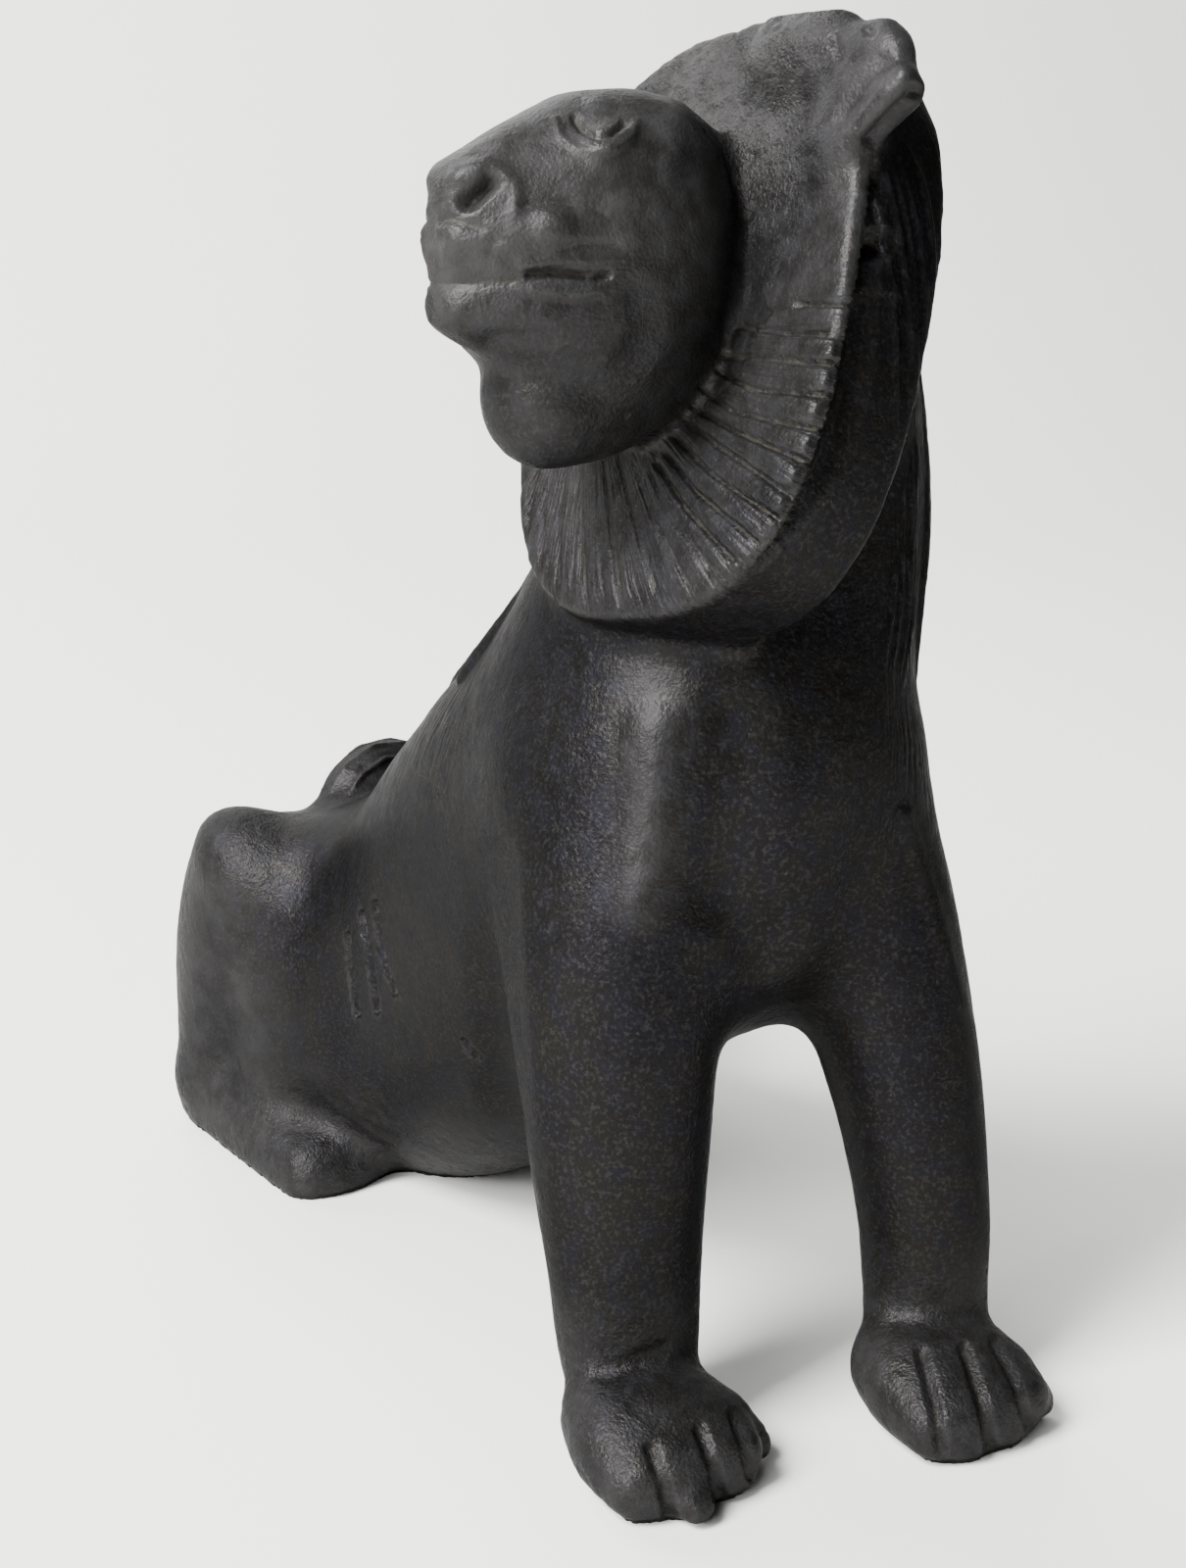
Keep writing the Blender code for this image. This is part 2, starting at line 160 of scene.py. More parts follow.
def headPlace():
    c, s = math.cos(ruffShape["turn"]), math.sin(ruffShape["turn"])
    return Place(ruffShape["centre"], (s, -c, 0), (-c, -s, 0), (0, 0, 1))


def ruffPlace():
    left, forward, up = headPlace().axes
    lean, roll = ruffShape["lean"], ruffShape["roll"]
    face = forward * math.cos(lean) + up * math.sin(lean)
    crown = up * math.cos(lean) - forward * math.sin(lean)
    rolledLeft = left * math.cos(roll) + crown * math.sin(roll)
    rolledCrown = crown * math.cos(roll) - left * math.sin(roll)
    return Place(ruffShape["centre"], rolledLeft, face, rolledCrown)


head = headPlace()
ruff = ruffPlace()


def smoothPath(stations):
    rows = np.array(stations, float)
    rows = np.vstack([2 * rows[0] - rows[1], rows, 2 * rows[-1] - rows[-2]])
    made = []
    for a, b, c, d in zip(rows, rows[1:], rows[2:], rows[3:]):
        for t in np.arange(figure["spanSteps"]) / figure["spanSteps"]:
            bend = 2 * a - 5 * b + 4 * c - d
            twist = 3 * b - a - 3 * c + d
            made.append(b + 0.5 * ((c - a) * t + bend * t**2 + twist * t**3))
    made.append(rows[-2])
    return np.array(made)


class Limb:
    # a station is x, y, z, half width, half depth and sometimes the length of the rounded end
    def __init__(self, stations, blend, across=(1, 0, 0), power=2.0):
        path = smoothPath([row if len(row) == 6 else (*row, min(row[3:5])) for row in stations])
        self.centres = path[:, :3]
        self.radii = path[:, 3:]
        self.blend = blend
        self.power = power
        along = np.gradient(self.centres, axis=0)
        along /= np.linalg.norm(along, axis=1, keepdims=True)
        width = across - along * (along @ np.array(across, float))[:, None]
        width /= np.linalg.norm(width, axis=1, keepdims=True)
        self.axes = np.stack([width, np.cross(along, width), along], axis=1)
        self.margin = self.radii.max() + self.blend + figure["near"]

    def distance(self, points):
        found = np.full(len(points), 1.0)
        low = self.centres.min(axis=0) - self.margin
        high = self.centres.max(axis=0) + self.margin
        mine = np.flatnonzero(((points > low) & (points < high)).all(axis=1))
        if not len(mine):
            return found
        here = points[mine]
        best = np.full(len(mine), 1.0)
        for i in range(len(self.centres) - 1):
            start, end = self.centres[i], self.centres[i + 1]
            reach = self.radii[i : i + 2].max() + self.blend + figure["near"]
            inside = (here > np.minimum(start, end) - reach) & (here < np.maximum(start, end) + reach)
            close = np.flatnonzero(inside.all(axis=1))
            span = end - start
            offset = here[close] - start
            part = np.clip(offset @ span / (span @ span), 0, 1)[:, None]
            offset = offset - part * span
            axes = self.axes[i] + part[:, :, None] * (self.axes[i + 1] - self.axes[i])
            radii = self.radii[i] + part * (self.radii[i + 1] - self.radii[i])
            local = np.einsum("nij,nj->ni", axes, offset)
            ratio = np.abs(local / radii) + 1e-9
            if self.power == 2.0:
                section = (ratio[:, :2] ** 2).sum(axis=1)
            else:
                section = (ratio[:, :2] ** self.power).sum(axis=1) ** (2 / self.power)
            near = np.sqrt(section + ratio[:, 2] ** 2)
            steep = np.linalg.norm(local / radii**2, axis=1) + 1e-9
            best[close] = np.minimum(best[close], near * (near - 1) / steep)
        found[mine] = best
        return found

    def addRough(self, shape):
        for centre, axes, radii in zip(self.centres, self.axes, self.radii):
            place = Matrix(axes.T.tolist()).to_4x4() @ Matrix.Diagonal((*radii, 1))
            place.translation = Vector(centre)
            bmesh.ops.create_icosphere(shape, subdivisions=3, radius=1, matrix=place)


class RuffPlate:
    # a flat shield with a rounded-square outline and a crisp rim; its face lies under the strips
    blend = ruffShape["blend"]

    def distance(self, points):
        rim, thickness, power = ruffShape["rim"], ruffShape["thickness"], ruffShape["power"]
        left, forward, up = ruff.into(points).T
        left = left - ruffShape["aside"]
        wide = np.abs(left) / ruffShape["halfWidth"]
        high = np.abs(up) / ruffShape["halfHeight"]
        ring = (wide**power + high**power) ** (1 / power)
        scale = np.hypot(left, up) / np.maximum(ring, 1e-6)
        side = (ring - 1) * np.maximum(scale, 0.3 * ruffShape["halfWidth"]) + rim
        sunk = ruffShape["lowered"] * np.clip(0.5 - 14 * (up - 0.012), 0, 1)
        cap = np.abs(forward + (thickness + sunk) / 2) - (thickness - sunk) / 2 + rim
        outside = np.hypot(np.maximum(side, 0), np.maximum(cap, 0))
        return outside + np.minimum(np.maximum(side, cap), 0) - rim

    def addRough(self, shape):
        place = Matrix(ruff.axes.T.tolist()).to_4x4()
        place.translation = Vector(ruff.out(0, -ruffShape["thickness"] / 2, 0))
        # the disc's own Z becomes the face of the ruff
        turn = Matrix.Rotation(math.radians(90), 4, "X")
        halves = [ruffShape[name] for name in ("halfWidth", "thickness", "halfHeight")]
        size = Matrix.Diagonal((*halves, 1))
        whole = {"radius1": 1, "radius2": 1, "depth": 1, "matrix": place @ size @ turn}
        bmesh.ops.create_cone(shape, cap_ends=True, segments=64, **whole)


trunk = {
    "halfWidth": 0.150,
    "torso": [
        (-0.015, 0.190, 0.500, 0.83, 0.115),
        (-0.010, 0.290, 0.440, 0.99, 0.180),
        (-0.005, 0.450, 0.330, 1.00, 0.190),
        (0, 0.620, 0.205, 0.97, 0.190),
        (0, 0.780, 0.140, 0.93, 0.180),
        (0, 0.920, 0.115, 0.83, 0.150, 0.120),
    ],
    "neck": [
        (-0.015, 0.250, 0.420, 0.90, 0.170),
        (0.000, 0.230, 0.560, 0.95, 0.154),
        (0.020, 0.220, 0.680, 0.87, 0.134),
        (0.016, 0.208, 0.800, 0.70, 0.124),
        (0.006, 0.205, 0.880, 0.52, 0.098),
    ],
}


def widened(stations, half):
    return [(*row[:3], row[3] * half, *row[4:]) for row in stations]


def trunkLimbs():
    half = trunk["halfWidth"]
    return [
        Limb(widened(trunk["torso"], half), blend=0.05, power=2.2),
        Limb(widened(trunk["neck"], half), blend=0.05),
    ]


forelegs = {
    "halfWidth": 0.0597,
    "right": [
        (-0.095, 0.220, 0.470, 1.25, 0.100),
        (-0.112, 0.185, 0.380, 1.30, 0.095),
        (-0.120, 0.165, 0.270, 1.17, 0.075),
        (-0.120, 0.155, 0.150, 1.00, 0.056),
        (-0.118, 0.150, 0.070, 0.90, 0.048),
    ],
    "left": [
        (0.070, 0.190, 0.470, 1.00, 0.095),
        (0.085, 0.155, 0.380, 1.10, 0.080),
        (0.104, 0.120, 0.260, 0.98, 0.060),
        (0.114, 0.100, 0.150, 0.86, 0.050),
        (0.116, 0.095, 0.070, 0.83, 0.045),
    ],
    "pawHalfWidth": 0.0669,
    # back from the tip, up, and half width as a share of the paw's, half depth, rounded end
    "paw": (
        (0.115, 0.036, 0.81, 0.040),
        (0.080, 0.034, 0.97, 0.040),
        (0.036, 0.025, 0.95, 0.030, 0.022),
    ),
    "rightPaw": (-0.135, 0.004),  # middle and tip, in shares
    "leftPaw": (0.092, -0.040),
    # ends of the toes in the photograph's pixels, and how wide each toe is
    "rightToes": ((655, 1530, 0.018), (712, 1539, 0.014), (752, 1507, 0.014), (772, 1474, 0.014)),
    "leftToes": ((938, 1452, 0.016), (986, 1472, 0.015), (1030, 1456, 0.014), (1060, 1430, 0.014)),
    "toeHeight": 0.013,
    # the toes start here, back from the paw's tip and up; the lift and half depth of their knuckles
    "toeRoot": (0.085, 0.050),
    "knuckle": (0.004, 0.020),
}


def onGround(pixel, height):
    # where the line of sight through a pixel comes down to a height above the ground
    sight = np.array(pixelRay(pixel))
    eye = np.array(photo["eye"])
    return eye + sight * (height - eye[2]) / sight[2]


def forelegLimbs():
    made = []
    half = forelegs["pawHalfWidth"]
    behind, rise = forelegs["toeRoot"]
    lift, deep = forelegs["knuckle"]
    for leg in ("right", "left"):
        made.append(Limb(widened(forelegs[leg], forelegs["halfWidth"]), blend=0.04))
        middle, tip = forelegs[leg + "Paw"]
        paw = []
        for back, up, wide, *rest in forelegs["paw"]:
            paw.append((middle, tip + back, up, wide * half, *rest))
        made.append(Limb(paw, blend=0.015, power=2.4))
        for x, y, wide in forelegs[leg + "Toes"]:
            end = onGround((x, y), forelegs["toeHeight"])
            back = np.array([0.5 * middle + 0.5 * end[0], tip + behind, rise])
            knuckle = end + (back - end) * 0.5 + (0, 0, lift)
            toe = [(*knuckle, wide * 1.2, deep), (*end, wide, forelegs["toeHeight"])]
            made.append(Limb(toe, blend=0.008))
    return made


hindquarters = {
    # how softly each runs into the next, and how square its section is
    "bothSides": (
        ("thigh", 0.05, 2.0),
        ("haunch", 0.06, 2.0),
        ("shin", 0.03, 2.0),
        ("paw", 0.03, 2.6),
    ),
    "thigh": [
        (0.155, 0.765, 0.278, 0.050, 0.062),
        (0.125, 0.820, 0.205, 0.066, 0.120),
        (0.090, 0.880, 0.120, 0.090, 0.150),
    ],
    "haunch": [
        (0.085, 0.700, 0.200, 0.085, 0.130),
        (0.100, 0.790, 0.160, 0.085, 0.150),
    ],
    "shin": [
        (0.172, 0.785, 0.298, 0.0347, 0.052),
        (0.178, 0.830, 0.190, 0.0347, 0.058),
        (0.172, 0.870, 0.045, 0.0347, 0.050),
    ],
    "paw": [
        (0.162, 0.880, 0.020, 0.040, 0.045),
        (0.156, 0.770, 0.018, 0.042, 0.045),
        (0.134, 0.665, 0.012, 0.0548, 0.042, 0.036),
    ],
    "tailRoot": [(0.030, 0.800, 0.290, 0.055, 0.060), (-0.055, 0.775, 0.275, 0.050, 0.055)],
    "tail": [
        (0.060, 1.000, 0.080, 0.0301, 0.030),
        (0.130, 0.940, 0.170, 0.0260, 0.026),
        (0.110, 0.870, 0.255, 0.0300, 0.032),
        (0.050, 0.825, 0.294, 0.0400, 0.054),
        (-0.020, 0.792, 0.336, 0.0380, 0.052),
        (-0.072, 0.768, 0.262, 0.0360, 0.046),
    ],
}


def hindLimbs():
    made = []
    for side in (-1, 1):
        for name, blend, power in hindquarters["bothSides"]:
            stations = [(side * row[0], *row[1:]) for row in hindquarters[name]]
            made.append(Limb(stations, blend, power=power))
    for name in ("tail", "tailRoot"):
        made.append(Limb(hindquarters[name], blend=0.02, across=(0, 1, 0)))
    return made


face = {
    # how softly each form runs into the rest, and how square its section is
    "softness": {
        "skull": (0.010, 2.4),
        "throat": (0.004,),
        "upperLip": (0.008,),
        "lowerJaw": (0.014,),
        "nose": (0.012,),
    },
    "skull": [
        (0, -0.030, 0.035, 0.030, 0.085),
        (0, 0.008, 0.035, 0.042, 0.102),
        (0, 0.036, 0.036, 0.067, 0.107),
        (0, 0.062, 0.037, 0.079, 0.107),
        (0, 0.095, 0.042, 0.070, 0.090),
        (0, 0.130, 0.048, 0.050, 0.064),
        (0, 0.150, 0.050, 0.034, 0.046, 0.022),
    ],
    "throat": [
        (0, 0.010, -0.020, 0.042, 0.040),
        (0, 0.068, -0.042, 0.050, 0.046),
        (0, 0.110, -0.049, 0.047, 0.045, 0.037),
    ],
    "upperLip": [
        (0, 0.091, 0.054, 0.076, 0.034),
        (0, 0.138, 0.053, 0.058, 0.030),
        (0, 0.170, 0.050, 0.032, 0.022, 0.024),
    ],
    "lowerJaw": [
        (0, 0.070, 0.006, 0.068, 0.030),
        (0, 0.132, 0.004, 0.054, 0.024),
        (0, 0.169, 0.008, 0.030, 0.018, 0.024),
    ],
    "nose": [
        (0, 0.085, 0.110, 0.036, 0.030),
        (0, 0.130, 0.096, 0.030, 0.025),
        (0, 0.162, 0.079, 0.031, 0.025, 0.026),
    ],
    "eyeMiddle": (0.046, 0.096, 0.109),
    "eyeRadius": 0.0177,
    "eyeFacing": (0.60, 0.34, 0.72),
    "eyeDome": (1.15, 0.62, 0.50),  # half width, half height and rounded end, in radii
    "eyeRing": (1.45, 0.003),  # its radius in radii of the eye, and its thickness
    # up and radius of the small knobs down the front of the muzzle
    "muzzleKnobs": ((0.066, 0.010), (0.048, 0.010), (0.030, 0.011), (0.014, 0.010)),
    # the ears are flaps with a rolled lower edge: left, up, half width, half depth on the ruff
    "earRoot": (
        (0.050, 0.172, 0.030, 0.018),
        (0.098, 0.165, 0.030, 0.018),
        (0.132, 0.150, 0.024, 0.015),
    ),
    "earFlap": (
        (0.115, 0.100, 0.020, 0.012),
        (0.138, 0.135, 0.030, 0.014),
        (0.158, 0.156, 0.026, 0.014),
    ),
    "hiddenEar": (0.004, -0.066),  # from which it is mirrored, and how much lower it stands
    "earRoll": (
        (0.118, 0.078, 0.008, 0.010),
        (0.146, 0.100, 0.010, 0.013),
        (0.174, 0.124, 0.014, 0.016),
    ),
}


def onHead(stations, blend, power=2.0):
    placed = [(*head.out(*row[:3]), *row[3:]) for row in stations]
    return Limb(placed, blend, across=head.axes[0], power=power)


def eyeCircle(side, radius, count):
    middle = np.array(face["eyeMiddle"]) * (side, 1, 1)
    out = np.array(face["eyeFacing"]) * (side, 1, 1)
    out /= np.linalg.norm(out)
    ahead = np.cross((side, 0, 0), out)
    ahead /= np.linalg.norm(ahead)
    aside = np.cross(out, ahead)
    angles = np.linspace(0, 2 * math.pi, count)
    return middle + radius * (np.outer(np.cos(angles), ahead) + np.outer(np.sin(angles), aside))


def eyeBall(side, radius):
    # a low dome, as broad as the eye and half as high
    middle, front = eyeCircle(side, 0, 1)[0], eyeCircle(side, 1, 2)[0]
    ahead = front - middle
    dome = [radius * share for share in face["eyeDome"]]
    return onHead([(*(middle + ahead * radius * part), *dome) for part in (-0.5, 0.5)], 0.003)


def earLimbs(side):
    made = []
    for name in ("earRoot", "earFlap", "earRoll"):
        stations = []
        for left, up, half, deep in face[name]:
            if side < 0:
                # the ear that the photograph doesn't show stands lower on the rolled ruff
                left, up = face["hiddenEar"][0] - left, up + face["hiddenEar"][1]
            stations.append((*ruff.out(left, -0.002, up), half, deep))
        made.append(Limb(stations, blend=0.008, across=ruff.axes[0]))
    return made


def headLimbs():
    made = [RuffPlate()] + [onHead(face[name], *soft) for name, soft in face["softness"].items()]
    radius = face["eyeRadius"]
    ring, thick = face["eyeRing"]
    for side in (-1, 1):
        made.append(eyeBall(side, radius))
        circle = eyeCircle(side, ring * radius, 13)
        made.append(onHead([(*place, thick, thick) for place in circle], 0.004))
        made += earLimbs(side)
    for up, knob in face["muzzleKnobs"]:
        made.append(onHead([(aside, 0.172, up, knob, knob) for aside in (0.012, -0.012)], 0.004))
    return made


def blended(points, limbs):
    found = np.full(len(points), 1.0)
    for limb in limbs:
        one = limb.distance(points)
        overlap = np.maximum(limb.blend - np.abs(found - one), 0) / limb.blend
        found = np.minimum(found, one) - overlap**2 * limb.blend / 4
    return np.maximum(found, -points[:, 2])


def roughWax(limbs):
    shape = bmesh.new()
    for limb in limbs:
        limb.addRough(shape)
    size = figure["height"]
    bmesh.ops.scale(shape, vec=(size, size, size), verts=shape.verts)
    bmesh.ops.translate(shape, vec=-Vector(figure["middle"]), verts=shape.verts)
    bmesh.ops.recalc_face_normals(shape, faces=shape.faces)
    mesh = bpy.data.meshes.new("roughWax")
    shape.to_mesh(mesh)
    shape.free()
    return mesh


def applied(holder):
    # what the object's modifier makes of it, as a plain mesh
    before = holder.data
    graph = bpy.context.evaluated_depsgraph_get()
    made = bpy.data.meshes.new_from_object(holder.evaluated_get(graph))
    bpy.data.objects.remove(holder)
    bpy.data.meshes.remove(before)
    return made


def modified(mesh, name, kind, **settings):
    holder = addObject(name, mesh)
    modifier = holder.modifiers.new(name, kind)
    for key, value in settings.items():
        setattr(modifier, key, value)
    return applied(holder)


def merged(mesh, grain):
    return modified(mesh, "mergeWax", "REMESH", mode="VOXEL", voxel_size=grain, adaptivity=0)


def pointsOf(mesh):
    flat = np.empty(len(mesh.vertices) * 3, np.float32)
    mesh.vertices.foreach_get("co", flat)
    return flat.reshape(-1, 3).astype(float)


def normalsOf(mesh):
    flat = np.empty(len(mesh.vertices) * 3, np.float32)
    mesh.vertex_normals.foreach_get("vector", flat)
    return flat.reshape(-1, 3).astype(float)


def store(mesh, name, values):
    kind, key = ("FLOAT_VECTOR", "vector") if np.ndim(values) > 1 else ("FLOAT", "value")
    mesh.attributes.new(name, kind, "POINT").data.foreach_set(key, np.ravel(values))


def move(mesh, points):
    mesh.vertices.foreach_set("co", points.astype(np.float32).ravel())
    mesh.update()


def settle(mesh, limbs, rounds, grain):
    for _ in range(rounds):
        points = pointsOf(mesh)
        gap = blended(toShares(points), limbs) * figure["height"]
        step = np.clip(gap, -2 * grain, 2 * grain)
        move(mesh, points - normalsOf(mesh) * step[:, None])


def blendedWax():
    limbs = trunkLimbs() + forelegLimbs() + hindLimbs() + headLimbs()
    wax = merged(roughWax(limbs), figure["coarseGrain"])
    settle(wax, limbs, 4, figure["coarseGrain"])
    wax = merged(wax, figure["mediumGrain"])
    settle(wax, limbs, 3, figure["mediumGrain"])
    wax = modified(wax, "smoothWax", "SMOOTH", factor=0.5, iterations=5)
    print("wax blended,", len(wax.vertices), "points")
    return wax


# laid strips: one tree lays combed strips of wax along guide lines, for the ruff, the mane and
# the tail


def addNode(tree, kind, inputs=(), output=0, **settings):
    # inputs go by name or in the node's own order, and one output is given back
    node = tree.nodes.new(kind)
    for key, value in settings.items():
        setattr(node, key, value)
    for key, value in inputs.items() if isinstance(inputs, dict) else enumerate(inputs):
        if isinstance(value, bpy.types.NodeSocket):
            tree.links.new(value, node.inputs[key])
        else:
            node.inputs[key].default_value = value
    return node.outputs[output]


combInputs = {
    "Guides": ("NodeSocketGeometry", None),
    "Strands": ("NodeSocketInt", 5),  # side by side in each strip
    "Spread": ("NodeSocketFloat", 1.6),  # of the strands, in strip half widths
    "Strand Width": ("NodeSocketFloat", 0.25),  # half width, in strip half widths
    "Flatness": ("NodeSocketFloat", 1.0),  # strand height over strand width
    "Roundness": ("NodeSocketFloat", 1.0),  # 1 is a round strand, less leaves a flat top
    "Height Jitter": ("NodeSocketFloat", 0.00004),
    "Taper": ("NodeSocketFloat", 0.4),
    "Step": ("NodeSocketFloat", 0.0003),
    "Seed": ("NodeSocketInt", 1),
    "Material": ("NodeSocketMaterial", None),
}

# a name, an operation and its values, which may be names of earlier results
combSums = [
    # the strands stand side by side across the guide, each a little higher or lower than the next
    ("last", "SUBTRACT", "Strands", 1.0),
    ("half", "MULTIPLY", "last", 0.5),
    ("fromMiddle", "SUBTRACT", "index", "half"),
    ("gaps", "MAXIMUM", "last", 1.0),
    ("share", "DIVIDE", "fromMiddle", "gaps"),
    ("spreadShare", "MULTIPLY", "share", "Spread"),
    ("place", "MULTIPLY", "spreadShare", "broad"),
    ("lift", "MULTIPLY", "chance", "Height Jitter"),
    # and each is fullest in its middle
    ("angle", "MULTIPLY", "along", math.pi),
    ("wave", "SINE", "angle"),
    ("swell", "MAXIMUM", "wave", 0.02),
    ("taper", "POWER", "swell", "Taper"),
    ("full", "MULTIPLY", "broad", "Strand Width"),
    ("width", "MULTIPLY", "full", "taper"),
]


def combTree():
    tree = bpy.data.node_groups.new("combedWax", "GeometryNodeTree")
    for name, (kind, value) in combInputs.items():
        socket = tree.interface.new_socket(name, in_out="INPUT", socket_type=kind)
        if value is not None:
            socket.default_value = value
    tree.interface.new_socket("Strips", in_out="OUTPUT", socket_type="NodeSocketGeometry")
    given = tree.nodes.new("NodeGroupInput").outputs
    # a guide is a line of edges that knows which way is outward, and how broad its strip is
    named = "GeometryNodeInputNamedAttribute"
    facing = addNode(tree, named, {"Name": "facing"}, data_type="FLOAT_VECTOR")
    broad = addNode(tree, named, {"Name": "broad"}, data_type="FLOAT")
    lines = addNode(tree, "GeometryNodeMeshToCurve", {"Mesh": given["Guides"]})
    inputs = {"Curve": lines, "Length": given["Step"]}
    finer = addNode(tree, "GeometryNodeResampleCurve", inputs, mode="LENGTH")
    inputs = {"Geometry": finer, "Amount": given["Strands"]}
    copies = addNode(tree, "GeometryNodeDuplicateElements", inputs, domain="SPLINE")
    inputs = [addNode(tree, "GeometryNodeInputIndex")]
    strand = addNode(tree, "GeometryNodeFieldOnDomain", inputs, domain="CURVE", data_type="INT")
    inputs = {2: -1.0, 3: 1.0, "ID": strand, "Seed": given["Seed"]}
    made = dict(given.items()) | {
        "index": copies.node.outputs["Duplicate Index"],
        "chance": addNode(tree, "FunctionNodeRandomValue", inputs, 1),
        "along": addNode(tree, "GeometryNodeSplineParameter", (), "Factor"),
        "broad": broad,
    }
    for name, operation, *values in combSums:
        inputs = [made.get(value, value) for value in values]
        made[name] = addNode(tree, "ShaderNodeMath", inputs, operation=operation)
    vectors = "ShaderNodeVectorMath"
    tangent = addNode(tree, "GeometryNodeInputTangent")
    across = addNode(tree, vectors, [facing, tangent], operation="CROSS_PRODUCT")
    across = addNode(tree, vectors, [across], operation="NORMALIZE")
    moves = []
    for way, amount in ((across, "place"), (facing, "lift")):
        inputs = {0: way, "Scale": made[amount]}
        moves.append(addNode(tree, vectors, inputs, operation="SCALE"))
    offset = addNode(tree, vectors, moves, operation="ADD")
    moved = addNode(tree, "GeometryNodeSetPosition", {0: copies, "Offset": offset})
    inputs = {"Curve": moved, "Normal": facing}
    laid = addNode(tree, "GeometryNodeSetCurveNormal", inputs, mode="FREE")
    box = addNode(tree, "GeometryNodeCurvePrimitiveQuadrilateral", {"Width": 2.0, "Height": 2.0})
    inputs = {"Curve": box, "Count": 2, "Radius": given["Roundness"]}
    ring = addNode(tree, "GeometryNodeFilletCurve", inputs, mode="POLY")
    flat = addNode(tree, "ShaderNodeCombineXYZ", [given["Flatness"], 1.0, 1.0])
    profile = addNode(tree, "GeometryNodeTransform", {"Geometry": ring, "Scale": flat})
    inputs = {"Curve": laid, "Profile Curve": profile, "Scale": made["width"], "Fill Caps": True}
    strips = addNode(tree, "GeometryNodeCurveToMesh", inputs)
    real = addNode(tree, "GeometryNodeRealizeInstances", [strips])
    inputs = {"Geometry": real, "Material": given["Material"]}
    dressed = addNode(tree, "GeometryNodeSetMaterial", inputs)
    tree.links.new(dressed, tree.nodes.new("NodeGroupOutput").inputs[0])
    return tree


def laidStrips(name, guides, material, **settings):
    points, facing, broad, edges = [], [], [], []
    for line, out, half in guides:
        edges += [(len(points) + i, len(points) + i + 1) for i in range(len(line) - 1)]
        points += [tuple(point) for point in line]
        facing += [tuple(one) for one in out]
        broad += list(half)
    mesh = bpy.data.meshes.new(name)
    mesh.from_pydata(points, edges, [])
    store(mesh, "facing", facing)
    store(mesh, "broad", broad)
    holder = addObject(name, mesh)
    modifier = holder.modifiers.new("combedWax", "NODES")
    modifier.node_group = comb
    sockets = [item for item in comb.interface.items_tree if item.in_out == "INPUT"]
    identifiers = {item.name: item.identifier for item in sockets}
    for key, value in {"Material": material, **settings}.items():
        modifier[identifiers[key]] = value
    return applied(holder)


comb = combTree()
print("strip tree ready")


# drawing with the tool: lines are traced in the photograph's pixels and pressed in under them


def toPixels(points):
    ahead, right, up = [np.array(axis) for axis in photoAxes()]
    offset = points - np.array(toMetres(photo["eye"]))
    depth = offset @ ahead
    across = photo["width"] / 2 + offset @ right / depth * photo["lensPixels"]
    down = photo["height"] / 2 - offset @ up / depth * photo["lensPixels"]
    return np.stack([across, down], axis=1)


def toLine(points, line):
    line = np.array(line, float)
    if len(line) == 1:
        return np.linalg.norm(points - line[0], axis=1)
    found = np.full(len(points), np.inf)
    for start, end in zip(line[:-1], line[1:]):
        span = end - start
        part = np.clip((points - start) @ span / (span @ span), 0, 1)[:, None]
        found = np.minimum(found, np.linalg.norm(points - start - part * span, axis=1))
    return found


def drawingDepth(points, normals, drawing):
    eye = np.array(toMetres(photo["eye"]))
    sight = eye - points
    sight /= np.linalg.norm(sight, axis=1, keepdims=True)
    seen = np.clip((normals * sight).sum(axis=1) * 4 - 0.2, 0, 1)
    flat = toPixels(points)
    depth = np.zeros(len(points))
    for line, radius, press in drawing:
        low = np.min(line, axis=0) - radius
        high = np.max(line, axis=0) + radius
        near = np.flatnonzero(((flat > low) & (flat < high)).all(axis=1))
        away = toLine(flat[near], line) / radius
        # narrow cuts are V shaped, everything else is rounded
        shape = np.maximum(1 - away, 0) if radius <= 5 else np.maximum(1 - away**2, 0) ** 2
        depth[near] += press * shape
    return depth * seen * 0.001  # the drawings are in millimetres


faceDrawing = [
    # the eye: ball, the dark under it, ring
    ([(612, 109)], 22, -0.16),
    ([(586, 120), (593, 131), (607, 139), (624, 136), (637, 125)], 6, 0.26),
    ([(567, 121), (572, 140), (588, 152), (608, 155), (630, 150), (645, 138), (650, 122)], 6, -0.10),
    # nose: nostril, its bright upper edge, its wing
    ([(476, 206), (486, 199), (500, 186)], 15, 0.62),
    ([(466, 180), (480, 172), (498, 170), (512, 178)], 13, -0.14),
    ([(523, 185), (527, 200), (525, 217)], 11, -0.14),
    ([(444, 226), (461, 223), (488, 232)], 9, 0.16),
    # whisker pad with a crease above it
    ([(565, 231)], 28, -0.24),
    ([(531, 210), (565, 206), (600, 211), (618, 218)], 5, 0.10),
    ([(575, 254), (590, 251), (607, 250), (628, 250)], 8, 0.12),
    # lips and teeth
    ([(532, 272), (554, 267), (581, 266), (608, 267), (636, 264)], 5, -0.12),
    ([(540, 281), (561, 279), (585, 280), (608, 283), (620, 280)], 7, 0.34),
    ([(604, 283)], 6, -0.16),
    ([(542, 295), (565, 299), (592, 300), (614, 296)], 5, -0.12),
    ([(542, 307), (566, 310), (592, 311), (612, 307)], 7, 0.07),
    ([(528, 286), (488, 289), (431, 290)], 6, 0.10),
    ([(505, 245), (498, 262)], 9, 0.10),
    # cheek edge, jaw and the lobe under it
    ([(680, 108), (690, 131), (688, 161)], 20, -0.10),
    ([(500, 348), (530, 344), (560, 345)], 16, 0.14),
    ([(655, 300), (660, 340), (640, 372)], 26, 0.16),
]

